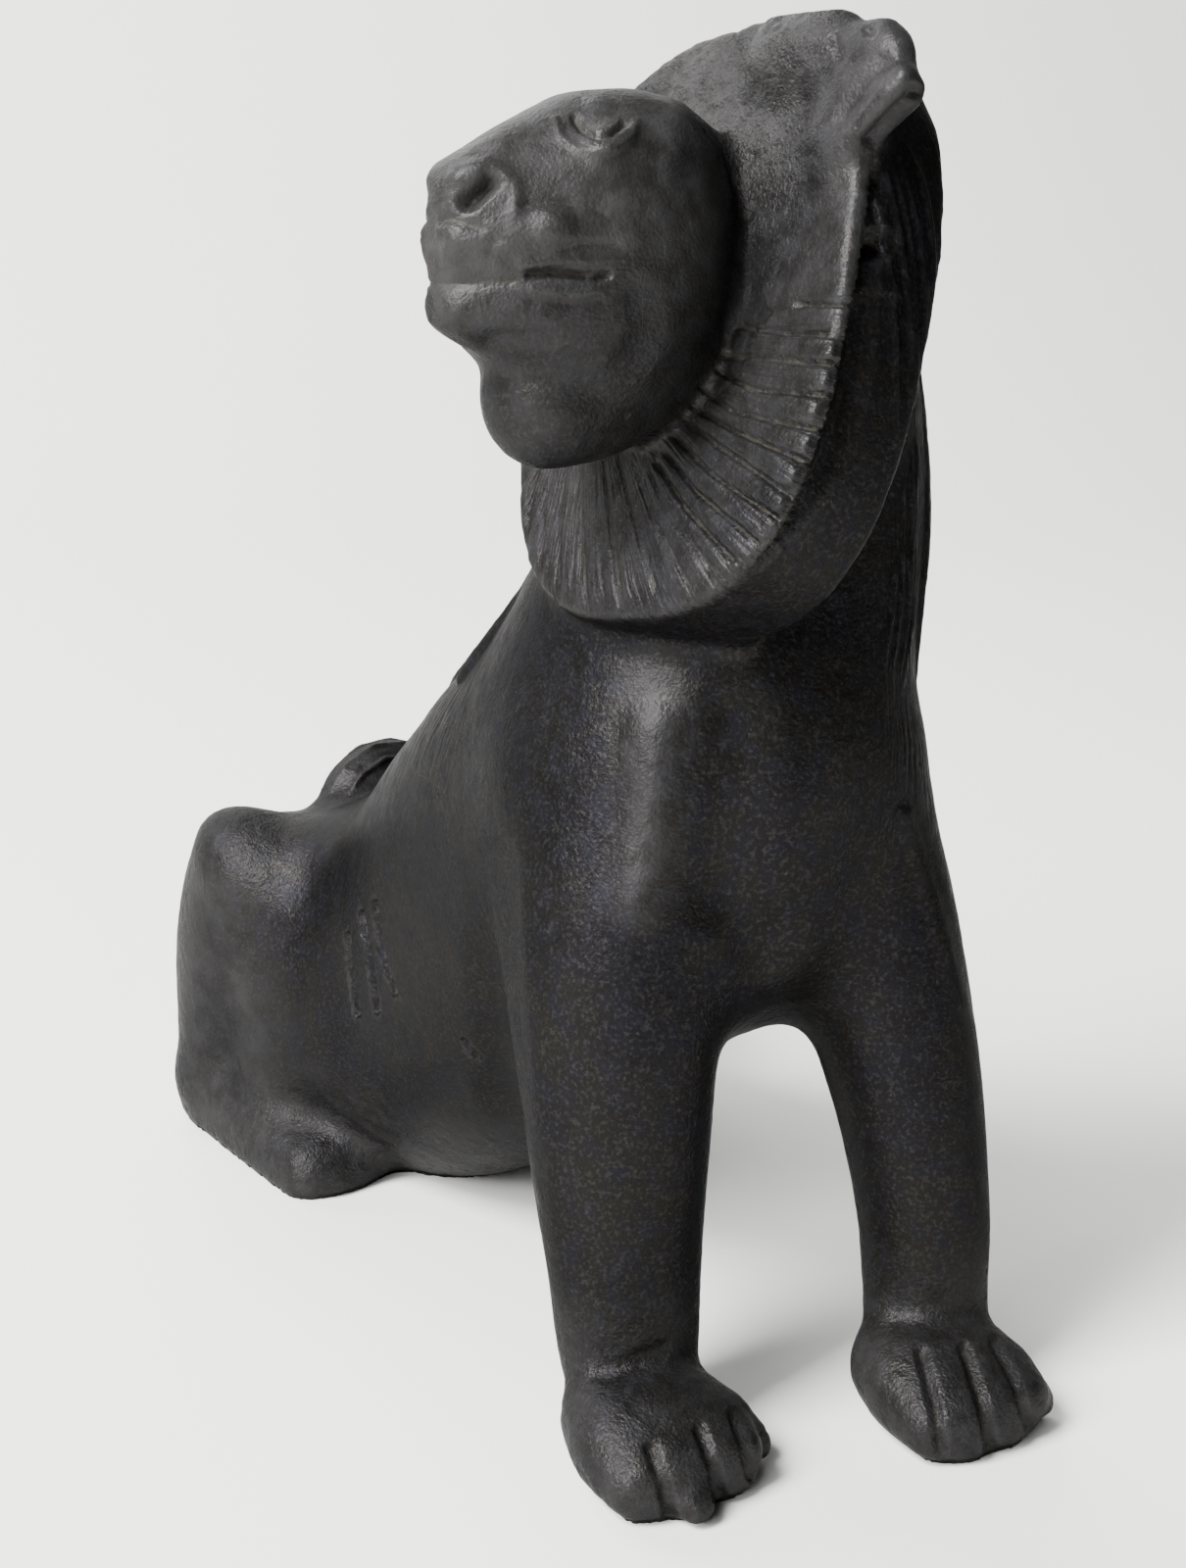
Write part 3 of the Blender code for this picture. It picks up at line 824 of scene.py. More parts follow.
ruffFurrows = [
    [(815, 310), (854, 311)],
    [(758, 333), (800, 338), (831, 340)],
    [(735, 363), (780, 365), (842, 371)],
    [(733, 379), (765, 396), (835, 402)],
    [(715, 396), (746, 419), (819, 435)],
    [(706, 415), (746, 438), (808, 465)],
    [(696, 427), (738, 458), (792, 496)],
    [(685, 442), (723, 481), (777, 519)],
    [(677, 461), (708, 500), (758, 542)],
    [(669, 473), (696, 515), (735, 558)],
    [(665, 485), (677, 519), (719, 569)],
    [(646, 473), (665, 527), (692, 577)],
    [(631, 473), (646, 531), (665, 592)],
    [(615, 473), (623, 531), (631, 600)],
    [(592, 467), (592, 531), (596, 600)],
    [(577, 467), (569, 531), (569, 600)],
    [(565, 465), (554, 519), (550, 577)],
    [(554, 463), (542, 500), (535, 558)],
    [(542, 465), (533, 500), (529, 538)],
]

# the neck behind the ruff's rim: the step down from it, the hollow under the ear
neckDrawing = [
    ([(886, 180), (880, 250), (876, 330), (868, 400), (846, 465), (808, 522), (765, 566)], 22, 0.50),
    ([(896, 248)], 22, 0.60),
    ([(872, 298), (892, 292), (910, 298)], 14, -0.10),
]

# the ear: valley beside its rolled edge, shade under it, knob at its end, a pit in the crown
earDrawing = [
    ([(860, 122), (882, 90), (902, 64)], 14, 0.16),
    ([(888, 142), (910, 118), (934, 94)], 13, 0.35),
    ([(924, 75)], 14, -0.20),
    ([(887, 32)], 10, 0.24),
    ([(852, 40), (858, 58)], 9, 0.16),
]

bodyDrawing = [
    # the shoulder's ridge down to the near leg, and the plane that turns away beside it
    ([(668, 745), (664, 840), (652, 925)], 42, -0.40),
    ([(750, 740), (752, 830), (740, 910)], 58, 0.40),
    # hollow above the gap between the legs, and the crease where the near leg leaves the flank
    ([(780, 963)], 50, 0.5),
    ([(500, 880), (503, 980), (512, 1110)], 34, 0.50),
    ([(923, 832), (950, 920), (980, 1025)], 14, -0.16),
    # slashes and nicks of the flank
    ([(354, 954), (358, 995), (364, 1036)], 4.0, 0.55),
    ([(368, 932), (374, 965), (384, 1032)], 4.2, 0.60),
    ([(382, 921), (388, 968), (402, 1014)], 4.0, 0.50),
    ([(473, 1062), (486, 1082)], 4, 0.34),
    # hollow above the foot, and the thigh falling back behind the shin
    ([(244, 1050), (229, 1085)], 28, 0.30),
    ([(306, 900), (298, 980), (284, 1035)], 40, 0.24),
    # wrist, toes and clefts of the near paw, then of the far one
    ([(616, 1402), (645, 1392), (672, 1380)], 15, 0.16),
    ([(684, 1562), (679, 1520), (664, 1478)], 11, 0.30),
    ([(738, 1542), (730, 1500), (714, 1458)], 10, 0.32),
    ([(768, 1508), (760, 1474), (748, 1442)], 9, 0.28),
    ([(960, 1480), (954, 1436), (940, 1380)], 10, 0.28),
    ([(1012, 1482), (1004, 1436), (984, 1375)], 10, 0.30),
    ([(1050, 1456), (1038, 1412), (1014, 1368)], 9, 0.26),
]


def mirrored(points, place):
    # the same place on the other side of the head or the ruff
    axis = place.axes[0]
    origin = np.array(toMetres(place.origin))
    return points - 2 * np.outer((points - origin) @ axis, axis)


def turned(vectors, place):
    return vectors - 2 * np.outer(vectors @ place.axes[0], place.axes[0])


def faceDepth(points, normals):
    left, forward, up = head.into(toShares(points)).T
    onFace = (forward > 0.0) & (np.abs(left) < 0.12) & (np.abs(up) < 0.17)
    depth = np.zeros(len(points))
    near = np.flatnonzero(onFace & (left > -0.002))
    depth[near] = drawingDepth(points[near], normals[near], faceDrawing)
    far = np.flatnonzero(onFace & (left <= -0.002))
    depth[far] = drawingDepth(mirrored(points[far], head), turned(normals[far], head), faceDrawing)
    return depth


def ruffDepth(points, normals):
    # the cuts are V shaped and fade towards the head; behind the rim the neck is pressed in
    left, forward, up = ruff.into(toShares(points)).T
    depth = np.zeros(len(points))
    front = np.flatnonzero((np.abs(forward) < 0.012) & (np.hypot(left, up) < 0.25) & (up < 0.04))
    cuts = []
    for number, line in enumerate(ruffFurrows):
        (x, y), (endX, endY) = line[-2:]
        deep = 0.24 if number < ruffStrips["deepCuts"] else 0.10
        cuts.append(([*line, (endX + 0.3 * (endX - x), endY + 0.3 * (endY - y))], 4, deep))
    depth[front] = drawingDepth(points[front], normals[front], cuts)
    ear = np.flatnonzero((forward > -0.05) & (left > 0.05) & (up > 0.04))
    depth[ear] += drawingDepth(points[ear], normals[ear], earDrawing)
    back = np.flatnonzero((forward < -0.010) & (left > 0) & (up > -0.25) & (up < 0.16))
    depth[back] += drawingDepth(points[back], normals[back], neckDrawing)
    return depth


def bodyDepth(points, normals):
    shares = toShares(points)
    low = np.flatnonzero((shares[:, 2] < 0.60) & (shares[:, 0] < 0.20))
    depth = np.zeros(len(points))
    depth[low] = drawingDepth(points[low], normals[low], bodyDrawing)
    return depth


# the ruff's strips lie between its furrows, which fan out from the face


ruffStrips = {
    "centre": -0.0026,  # of a strip, ahead of the ruff's face, in shares
    "overhang": (-0.004, -0.014),  # past the rim, of the broad strips and of the fine ones
    "ragged": 0.002,
    "flatness": 0.36,
    "deepCuts": 10,  # of the traced furrows; from there on each strip is split in two
    "seed": 4,
    # on the side that the photograph doesn't show, from the last traced furrow to the worn crown
    "hiddenAngles": (-150, -160, -170, -180, -190),
    "hiddenInner": (0.62, -0.012),
    "hiddenReach": 0.97,
    "fanMiddle": (600, 350),  # where the furrows point to, in the photograph's pixels
}


def onRuffPlane(pixel, depth):
    # where the line of sight through a pixel meets the face of the ruff
    eye = ruff.into(np.array([photo["eye"]]))[0]
    sight = ruff.axes @ pixelRay(pixel)
    place = eye + sight * (depth - eye[1]) / sight[1]
    return place[[0, 2]]


def toRim(inner, outer):
    # lengthens a furrow as far as the ruff's rim
    step = (outer - inner) / np.linalg.norm(outer - inner)
    for reach in np.arange(0, 0.2, 0.001):
        place = outer + step * reach
        halves = (ruffShape["halfWidth"], ruffShape["halfHeight"])
        wide, high = np.abs(place - (ruffShape["aside"], 0)) / halves
        if wide ** ruffShape["power"] + high ** ruffShape["power"] > 1:
            break
    return place


def ruffFan():
    fan = []
    for furrow in ruffFurrows[1:]:
        inner, outer = [onRuffPlane(pixel, 0.0) for pixel in (furrow[0], furrow[-1])]
        fan.append((inner - (outer - inner) * 0.2, toRim(inner, inner + (outer - inner) * 0.5)))
    keep, shift = ruffStrips["hiddenInner"]
    for angle in ruffStrips["hiddenAngles"]:
        spoke = np.array([math.cos(math.radians(angle)), math.sin(math.radians(angle))])
        outer = toRim(np.zeros(2), spoke * 0.05)
        fan.append((outer * keep + (shift, 0), outer * ruffStrips["hiddenReach"]))
    return np.array(fan)


def ruffGuides():
    rng = np.random.default_rng(ruffStrips["seed"])
    fan = ruffFan()
    finer = []
    for number, (a, b) in enumerate(zip(fan[:-1], fan[1:])):
        finer += [a] if number < ruffStrips["deepCuts"] else [a, (a + b) / 2]
    guides = []
    for a, b in zip(finer, [*finer[1:], fan[-1]]):
        inner, outer = (a + b) / 2
        step = (outer - inner) / np.linalg.norm(outer - inner)
        fine = (outer - inner)[1] < -0.5 * np.linalg.norm(outer - inner) or outer[0] < -0.02
        ragged = ruffStrips["ragged"] * rng.uniform(-1, 1)
        outer = outer + step * (ruffStrips["overhang"][int(fine)] + ragged)
        # the gap is measured square to the strip
        halves = np.abs((a - b) @ (-step[1], step[0])) / 2
        height = ruffStrips["centre"] + rng.uniform(-0.0008, 0.0008)
        parts = np.linspace(0, 1, 12)
        places = inner + np.outer(parts, outer - inner)
        line = [toMetres(ruff.out(left, height, up)) for left, up in places]
        broad = (halves[0] + (halves[1] - halves[0]) * parts) * figure["height"]
        broad = broad * np.clip((1.08 - parts) * 6, 0.25 if fine else 0.6, 1)
        guides.append((line, [ruff.axes[1]] * len(line), broad))
    return guides


# the mane: locks that start behind the ears and sweep round the back of the neck to the withers

mane = {
    "locks": 20,
    "topAzimuth": (-44.0, 176.0),  # 0 is the lion's left, 90 its back
    "lowAzimuth": (-44.0, 128.0),
    "topHeight": (0.86, 0.95),  # of the locks' ends, at the sides and in the middle, in shares
    "lowHeight": (0.56, 0.46),
    "sway": 0.012,
    "strands": 4,
    "strandWidth": 0.27,
    "seed": 11,
    # the strands in sight, between two lines traced in the photograph's pixels
    "outerLine": [
        *[(922, 146), (941, 196), (951, 262), (955, 340)],
        *[(955, 430), (953, 540), (951, 640), (944, 720)],
    ],
    "innerLine": [
        *[(893, 186), (900, 230), (909, 290), (914, 356)],
        *[(915, 440), (914, 540), (909, 620), (900, 680)],
    ],
    "inSight": 7,
    "wander": 1.25,  # of a strand from one station to the next, in pixels
    "halfWidths": (3.2, 4.8),  # of the strands, in pixels
    "jump": 0.003,  # metres; a strand ends where the line of sight leaps further than this
    "fewest": 5,  # places, below which a strand is left out
}


def neckTree(mesh):
    # only what lies behind the ruff's face, so that no lock falls on the head
    points = pointsOf(mesh)
    behind = ruff.into(toShares(points))[:, 1] < -0.014
    corners = [tuple(point) for point in points]
    faces = [tuple(face.vertices) for face in mesh.polygons if behind[face.vertices[0]]]
    return BVHTree.FromPolygons(corners, faces)


def neckAxis(height):
    # middle of the neck at a height, from the trunk's own stations
    rows = np.array([row[:3] for row in trunk["neck"]])
    middle = [np.interp(height, rows[:, 2], rows[:, i]) for i in (0, 1)]
    return np.stack([*middle, height], axis=-1)


def onNeck(tree, azimuth, height):
    middle = toMetres(neckAxis(height))
    angle = math.radians(azimuth)
    out = Vector((math.cos(angle), math.sin(angle), 0))
    found = tree.ray_cast(middle + out * 0.03, -out)
    return (found[0], found[1]) if found[0] is not None and found[1].dot(out) > 0 else None


def partWay(ends, share):
    return ends[0] + (ends[1] - ends[0]) * share


def maneLines(tree):
    rng = np.random.default_rng(mane["seed"])
    grid = []
    for k in range(mane["locks"] + 1):
        share = k / mane["locks"]
        middle = math.sin(share * math.pi)
        top = partWay(mane["topHeight"], middle)
        low = partWay(mane["lowHeight"], middle)
        wave = rng.uniform(0, 2 * math.pi)
        line = []
        for part in np.linspace(0, 1, 16):
            ends = [partWay(mane[name], share) for name in ("topAzimuth", "lowAzimuth")]
            azimuth = partWay(ends, part**0.8)
            azimuth += math.degrees(mane["sway"] / 0.15) * math.sin(wave + 5 * part) * part
            found = onNeck(tree, azimuth, partWay((top, low), part))
            line.append(found or (line[-1] if line else None))
        first = next(place for place in line if place)
        grid.append([place or first for place in line])
    return grid


def sightGuides(tree):
    # each strand lies where its line of sight first meets the neck
    rng = np.random.default_rng(mane["seed"] + 1)
    outer, inner = [np.array(mane[line], float) for line in ("outerLine", "innerLine")]
    eye = toMetres(photo["eye"])
    guides = []
    for k in range(mane["inSight"]):
        share = (k + rng.uniform(-0.18, 0.18)) / (mane["inSight"] - 1)
        stations = outer + (inner - outer) * min(max(share, 0), 1)
        stations[:, 0] += np.cumsum(rng.uniform(-1, 1, len(stations))) * mane["wander"]
        wide = rng.uniform(*mane["halfWidths"]) / photo["lensPixels"]
        line, facing, broad = [], [], []
        for pixel in smoothPath(stations):
            sight = Vector(pixelRay(pixel)).normalized()
            place, out, _, away = tree.ray_cast(eye, sight)
            ends = place is None or out.dot(sight) > -0.1
            if ends or (line and (place - line[-1]).length > mane["jump"]):
                guides.append((line, facing, broad))
                line, facing, broad = [], [], []
                continue
            line.append(place)
            facing.append(out)
            broad.append(wide * away)
        guides.append((line, facing, broad))
    return [guide for guide in guides if len(guide[0]) > mane["fewest"]]


def maneGuides(tree):
    grid = maneLines(tree)
    guides = []
    for a, b in zip(grid[:-1], grid[1:]):
        line, facing, broad = [], [], []
        for (placeA, outA), (placeB, outB) in zip(a, b):
            out = (outA + outB).normalized()
            line.append((placeA + placeB) / 2)
            facing.append(out)
            broad.append(max((placeA - placeB).length / 2, 0.0004))
        guides.append((line, facing, broad))
    return guides


# the tail's hair runs along it where it crosses the back

tailHair = {"from": 9, "lines": 9, "half": 0.0008}


def tailGuides():
    tail = Limb(hindquarters["tail"], blend=0.02, across=(0, 1, 0))
    guides = []
    for angle in np.linspace(-0.35 * math.pi, 1.35 * math.pi, tailHair["lines"]):
        line, facing, broad = [], [], []
        for i in range(tailHair["from"], len(tail.centres)):
            spoke = np.array([math.cos(angle), math.sin(angle), 0])
            out = spoke @ tail.axes[i]
            place = tail.centres[i] + (spoke * tail.radii[i] * 0.97) @ tail.axes[i]
            line.append(toMetres(place))
            facing.append(out / np.linalg.norm(out))
            broad.append(tailHair["half"])
        guides.append((line, facing, broad))
    return guides


# casting skin: pits, pimples and soft unevenness


firstTurn = Matrix.Rotation(0.7, 3, Vector((1, 2, 3)))
turn = np.array(firstTurn @ Matrix.Rotation(1.1, 3, Vector((3, -1, 1))))


def grainNoise(points, size, seed):
    # smooth random relief, 0 to 1; the lattice is turned so that no row of it lies along the body
    table = np.random.default_rng(seed).random((32, 32, 32))
    cell = points @ turn / size + 11.3 * seed
    low = np.floor(cell).astype(int)
    part = cell - low
    part = part * part * (3 - 2 * part)
    found = np.zeros(len(points))
    for corner in np.ndindex(2, 2, 2):
        weight = np.where(corner, part, 1 - part).prod(axis=1)
        i, j, k = ((low + corner) % 32).T
        found += weight * table[i, j, k]
    return found


castSkin = {
    "swell": (0.0045, 0.00010),  # size and depth, metres
    "rub": (0.0012, 0.00003),
    "grit": (0.00040, 0.000025),
    "pits": (0.00034, 0.00007),
    "seed": 5,
}


def pittedness(shares):
    # the crown of the ruff, the lower legs and the paws are the most eaten
    left, forward, up = ruff.into(shares).T
    crown = np.clip((up - 0.02) * 12, 0, 1) * np.clip(4 + forward * 60, 0, 1)
    crown *= np.clip((0.125 - left) * 40, 0, 1)
    inHead = head.into(shares)[:, 1] > 0.012
    low = np.clip((0.15 - shares[:, 2]) * 9, 0, 1)
    knee = np.clip(1 - np.linalg.norm(shares - (-0.155, 0.76, 0.31), axis=1) / 0.09, 0, 1)
    return np.maximum(np.maximum(np.where(inHead, 0.1, crown), 0.55 * low), 0.8 * knee)


def skinDepth(points, normals):
    eaten = pittedness(toShares(points))

    def layer(number, name):
        size, deep = castSkin[name]
        return grainNoise(points, size, castSkin["seed"] + number), deep

    swell, deep = layer(0, "swell")
    depth = deep * (swell - 0.5)
    for number, name in ((1, "rub"), (2, "grit")):
        rough, deep = layer(number, name)
        depth += deep * (rough - 0.5) * (0.9 + 1.4 * eaten)
    pits, deep = layer(3, "pits")
    depth += deep * np.clip((pits - 0.70 + 0.10 * eaten) * 5, 0, 1) * (0.15 + 0.85 * eaten)
    return depth


def press(mesh, drawing):
    points, normals = pointsOf(mesh), normalsOf(mesh)
    move(mesh, points - normals * drawing(points, normals)[:, None])


def flatten(mesh, grain):
    points = pointsOf(mesh)
    downward = normalsOf(mesh)[:, 2] < -0.7
    points[points[:, 2] < np.where(downward, 1.5 * grain, 0), 2] = 0
    move(mesh, points)


def keepInside(mesh):
    # the CAD box is the casting's real size
    move(mesh, np.clip(pointsOf(mesh), cadBox[0], cadBox[1]))


def storeRelief(mesh):
    # how far each place stands proud of, or lies below, its surroundings
    points, normals = pointsOf(mesh), normalsOf(mesh)
    for name, rounds in (("fineRelief", 6), ("broadRelief", 40)):
        soft = modified(mesh.copy(), "softWax", "SMOOTH", factor=0.5, iterations=rounds)
        relief = ((points - pointsOf(soft)) * normals).sum(axis=1)
        bpy.data.meshes.remove(soft)
        store(mesh, name, relief * 1000)


finish = {
    "onRuff": 0.6,  # how deep the combed lines are, against the neck's
    "onFlank": 0.05,
    "across": {"neck": 8, "ruff": 9},  # millimetres of lines to a radian
    # how much of the film of dust lies there, and how strong the painted highlight down the chest's
    # ridge is
    "behind": 0.5,
    "paws": 0.6,
    "ridge": 0.8,
    # the painted highlight down the chest's ridge, a paler stripe along a line in the photograph's
    # pixels
    "ridgeLine": [(668, 700), (668, 765), (662, 840), (652, 910)],
    "ridgeHalf": 52,
}


def ramp(value, start, steep):
    # 0 up to the start, then rising to 1
    return np.clip((value - start) * steep, 0, 1)


def storeComb(mesh):
    # where fine lines were combed into the wax: millimetres across and along, and how deep
    points, normals = pointsOf(mesh), normalsOf(mesh)
    shares = toShares(points)
    high = shares[:, 2]
    size = figure["height"] * 1000
    along = high * size
    left, forward, up = ruff.into(shares).T
    reach = np.hypot(left, up)
    onRuff = ramp(-np.abs(forward), -2 / 90, 90) * ramp(-up, -0.03, 30) * (reach > 0.08)
    axis = neckAxis(high)
    azimuth = np.arctan2(shares[:, 0] - axis[:, 0], axis[:, 1] - shares[:, 1])
    onNeck = ramp(high, 0.44, 20) * ramp(-forward, 0.015, 40)
    onNeck *= ramp(azimuth, 0.2, 6) + ramp(-azimuth, 2.2, 6)
    onFlank = ramp(-normals[:, 0], 0.25, 2) * ramp(-high, -0.5, 8) * ramp(shares[:, 1], 0.25, 10)
    fromMiddle = np.stack([left, up], axis=1) - onRuffPlane(ruffStrips["fanMiddle"], 0.0)
    fan = np.arctan2(fromMiddle[:, 0], -fromMiddle[:, 1]) * finish["across"]["ruff"]
    place = np.stack([shares[:, 1] * size, along, onFlank * finish["onFlank"]], axis=1)
    for amount, across, down in (
        (onNeck, azimuth * finish["across"]["neck"], along),
        (onRuff * finish["onRuff"], fan, reach * size),
    ):
        stronger = amount > place[:, 2]
        place[stronger] = np.stack([across, down, amount], axis=1)[stronger]
    store(mesh, "comb", place)
    store(mesh, "eaten", pittedness(shares))
    # a thin film of dust on the head and the ruff, the hind leg, the tail and the paws; on the head
    # it grows towards the top, partly painted light from above, and down the chest's ridge it is a
    # painted highlight
    inHead = ramp(head.into(shares)[:, 1], 0, 30) * np.maximum(ramp(high, 0.75, 9), 0.1)
    inRuff = ramp(forward, -0.017, 90) * ramp(high, 0.55, 14)
    # a painted highlight: a paler stripe down the chest's ridge, set by the distance from a line in
    # the photograph's pixels
    half = finish["ridgeHalf"]
    ridge = ramp(-toLine(toPixels(points), finish["ridgeLine"]), -half, 1 / half)
    # dust and painted light share one pale film: the head's paler top and the chest's ridge are
    # painted light
    paleFilmAndSheen = [
        inHead * (high > 0.62),
        inRuff * (0.4 + 2.4 * np.clip(up + 0.05, 0, 0.25)),
        ramp(shares[:, 1], 0.66, 12) * finish["behind"],
        ramp(-high, -0.14, 10) * finish["paws"],
        ridge * (shares[:, 1] < 0.2) * finish["ridge"],
    ]
    store(mesh, "dustAndPaintedSheen", np.max(paleFilmAndSheen, axis=0))


def triangleCount(mesh):
    return sum(len(face.vertices) - 2 for face in mesh.polygons)


def joined(meshes):
    shape = bmesh.new()
    for mesh in meshes:
        shape.from_mesh(mesh)
        bpy.data.meshes.remove(mesh)
    whole = bpy.data.meshes.new("joinedWax")
    shape.to_mesh(whole)
    shape.free()
    return whole


def castLion(material):
    wax = blendedWax()
    tree = neckTree(wax)
    one = {"Strands": 1, "Strand Width": 1.0, "Height Jitter": 0.0, "Taper": 0.05, "Step": 0.0004}
    flat = {"Flatness": ruffStrips["flatness"], "Roundness": 0.7}
    strips = laidStrips("ruffStrips", ruffGuides(), material, **one, **flat)
    many = {"Strands": mane["strands"], "Strand Width": mane["strandWidth"], "Seed": mane["seed"]}
    locks = laidStrips("maneLocks", maneGuides(tree), material, **many)
    sight = {"Strands": 1, "Strand Width": 1.0, "Seed": mane["seed"]}
    locks = joined([locks, laidStrips("maneInSight", sightGuides(tree), material, **sight)])
    hair = laidStrips("tailHair", tailGuides(), material, Strands=3, Seed=3)
    print("strips laid,", len(strips.polygons), len(locks.polygons), len(hair.polygons), "faces")
    wax = modified(wax, "finerWax", "SUBSURF", levels=1, render_levels=1)
    wax = merged(joined([wax, strips, locks, hair]), figure["fineGrain"])
    wax = modified(wax, "smoothWax", "SMOOTH", factor=0.5, iterations=2)
    print("fine wax,", len(wax.vertices), "points")
    for drawing in (faceDepth, ruffDepth, bodyDepth, skinDepth):
        press(wax, drawing)
    flatten(wax, figure["fineGrain"])
    storeRelief(wax)
    storeComb(wax)
    ratio = figure["triangles"] / triangleCount(wax)
    wax = modified(wax, "thinOut", "DECIMATE", ratio=min(ratio, 1), use_collapse_triangulate=True)
    flatten(wax, figure["fineGrain"])
    keepInside(wax)
    print("cast,", triangleCount(wax), "triangles")
    return wax


# dark patinated cast bronze: brown-black oxide with a waxed, satin skin, rubbed paler on what stands
# proud, with earthy dust and a little green in what lies low


def linear(hexColour):
    parts = [int(hexColour[i : i + 2], 16) / 255 for i in (1, 3, 5)]
    bent = [part / 12.92 if part <= 0.04045 else ((part + 0.055) / 1.055) ** 2.4 for part in parts]
    return (*bent, 1.0)


bronze = {
    "oxide": "#171617",
    "oxideBrown": "#1b1a18",
    "oxideBlue": "#1a1a21",
    "worn": "#323232",
    # pale film of dust, also used for the painted highlight down the chest's ridge
    "paleFilmAndSheen": "#353434",
    "dust": "#3b392f",
    "green": "#20291d",
    "metallic": (0.72, 0.30),  # bare oxide, and under the film of dust and of painted highlight
    "bump": (0.8, 0.00008),  # strength, and depth in metres
    "combStretch": (5.0, 0.25, 0.0),  # lines 0.2 mm apart that run along the wax
    "grazing": 0.12,  # how much of the glancing reflection the dull skin leaves
    "specular": 0.10,
    # scale and detail of each pattern; 200 is 5 mm across, 1000 1 mm, 4000 0.25 mm
    "patterns": {
        "clouds": (200.0, 3.0),
        "mottle": (1000.0, 4.0),
        "patches": (900.0, 4.0),
        "specks": (4000.0, 2.0),
        "haze": (5200.0, 3.0),
        "greenSpots": (3100.0, 2.0),
        "grain": (6500.0, 2.0),
        "unevenness": (1700.0, 3.0),
    },
    # each is a stretch of a pattern or an attribute, and what it becomes
    "parts": {
        "brown": ("clouds", 0.40, 0.62, 0.0, 1.0),
        "blue": ("mottle", 0.45, 0.70, 0.0, 0.6),
        "filmClouds": ("clouds", 0.30, 0.65, 0.55, 1.0),
        "filmMottle": ("mottle", 0.35, 0.62, 0.6, 1.0),
        "hazy": ("haze", 0.50, 0.68, 0.0, 0.40),
        "fineProud": ("fineRelief", 0.004, 0.03, 0.0, 1.0),
        "broadProud": ("broadRelief", 0.02, 0.20, 0.0, 0.6),
        "rubbed": ("mottle", 0.35, 0.65, 0.4, 1.0),
        "fineLow": ("fineRelief", -0.006, -0.035, 0.0, 1.0),
        "broadLow": ("broadRelief", -0.04, -0.25, 0.0, 0.5),
        "dustPatches": ("patches", 0.40, 0.66, 0.0, 1.0),
        "dots": ("specks", 0.70, 0.76, 0.0, 1.0),
        "greenDots": ("greenSpots", 0.69, 0.75, 0.0, 1.0),
        "greenClouds": ("clouds", 0.45, 0.60, 0.0, 1.0),
        "satin": ("mottle", 0.3, 0.7, 0.36, 0.50),
    },
    "sums": [
        # the pale film is dust, and down the chest's ridge a painted highlight
        ("paleFilmAndSheen", "MULTIPLY", "dustAndPaintedSheen", "filmClouds"),
        ("paleFilmAndSheenAmount", "MULTIPLY", "paleFilmAndSheen", "filmMottle"),
        ("raised", "ADD", "fineProud", "broadProud"),
        ("proud", "MULTIPLY", "raised", "rubbed"),
        ("wornAmount", "MULTIPLY", "proud", 0.55),
        ("low", "ADD", "fineLow", "broadLow"),
        ("dusted", "MULTIPLY", "low", "dustPatches"),
        ("dustAmount", "MULTIPLY", "dusted", 0.35),
        ("dotAmount", "MULTIPLY", "dots", 0.5),
        ("greens", "MULTIPLY", "greenDots", "greenClouds"),
        ("greenAmount", "MULTIPLY", "greens", 0.6),
        ("rougher", "MULTIPLY_ADD", "dusted", 0.25, "satin"),
        ("rough", "MULTIPLY_ADD", "proud", -0.06, "rougher"),
        # cast grain of 0.15 mm over unevenness of 0.6 mm, stronger where the skin is eaten
        ("bumps", "MULTIPLY_ADD", "unevenness", 1.2, "grain"),
        ("bumpShare", "MULTIPLY_ADD", "eaten", 1.3, 0.5),
        ("skin", "MULTIPLY", "bumps", "bumpShare"),
        ("combLines", "MULTIPLY", "lines", "combed"),
        ("height", "MULTIPLY_ADD", "combLines", 4.0, "skin"),
    ],
    # laid over the oxide in this order
    "layers": [
        ("brown", "oxideBrown"),
        ("blue", "oxideBlue"),
        # the pale film: dust, and the painted highlight down the chest's ridge
        ("paleFilmAndSheenAmount", "paleFilmAndSheen"),
        ("hazy", "paleFilmAndSheen"),
        ("wornAmount", "worn"),
        ("dustAmount", "dust"),
        ("dotAmount", "dust"),
        ("greenAmount", "green"),
    ],
}


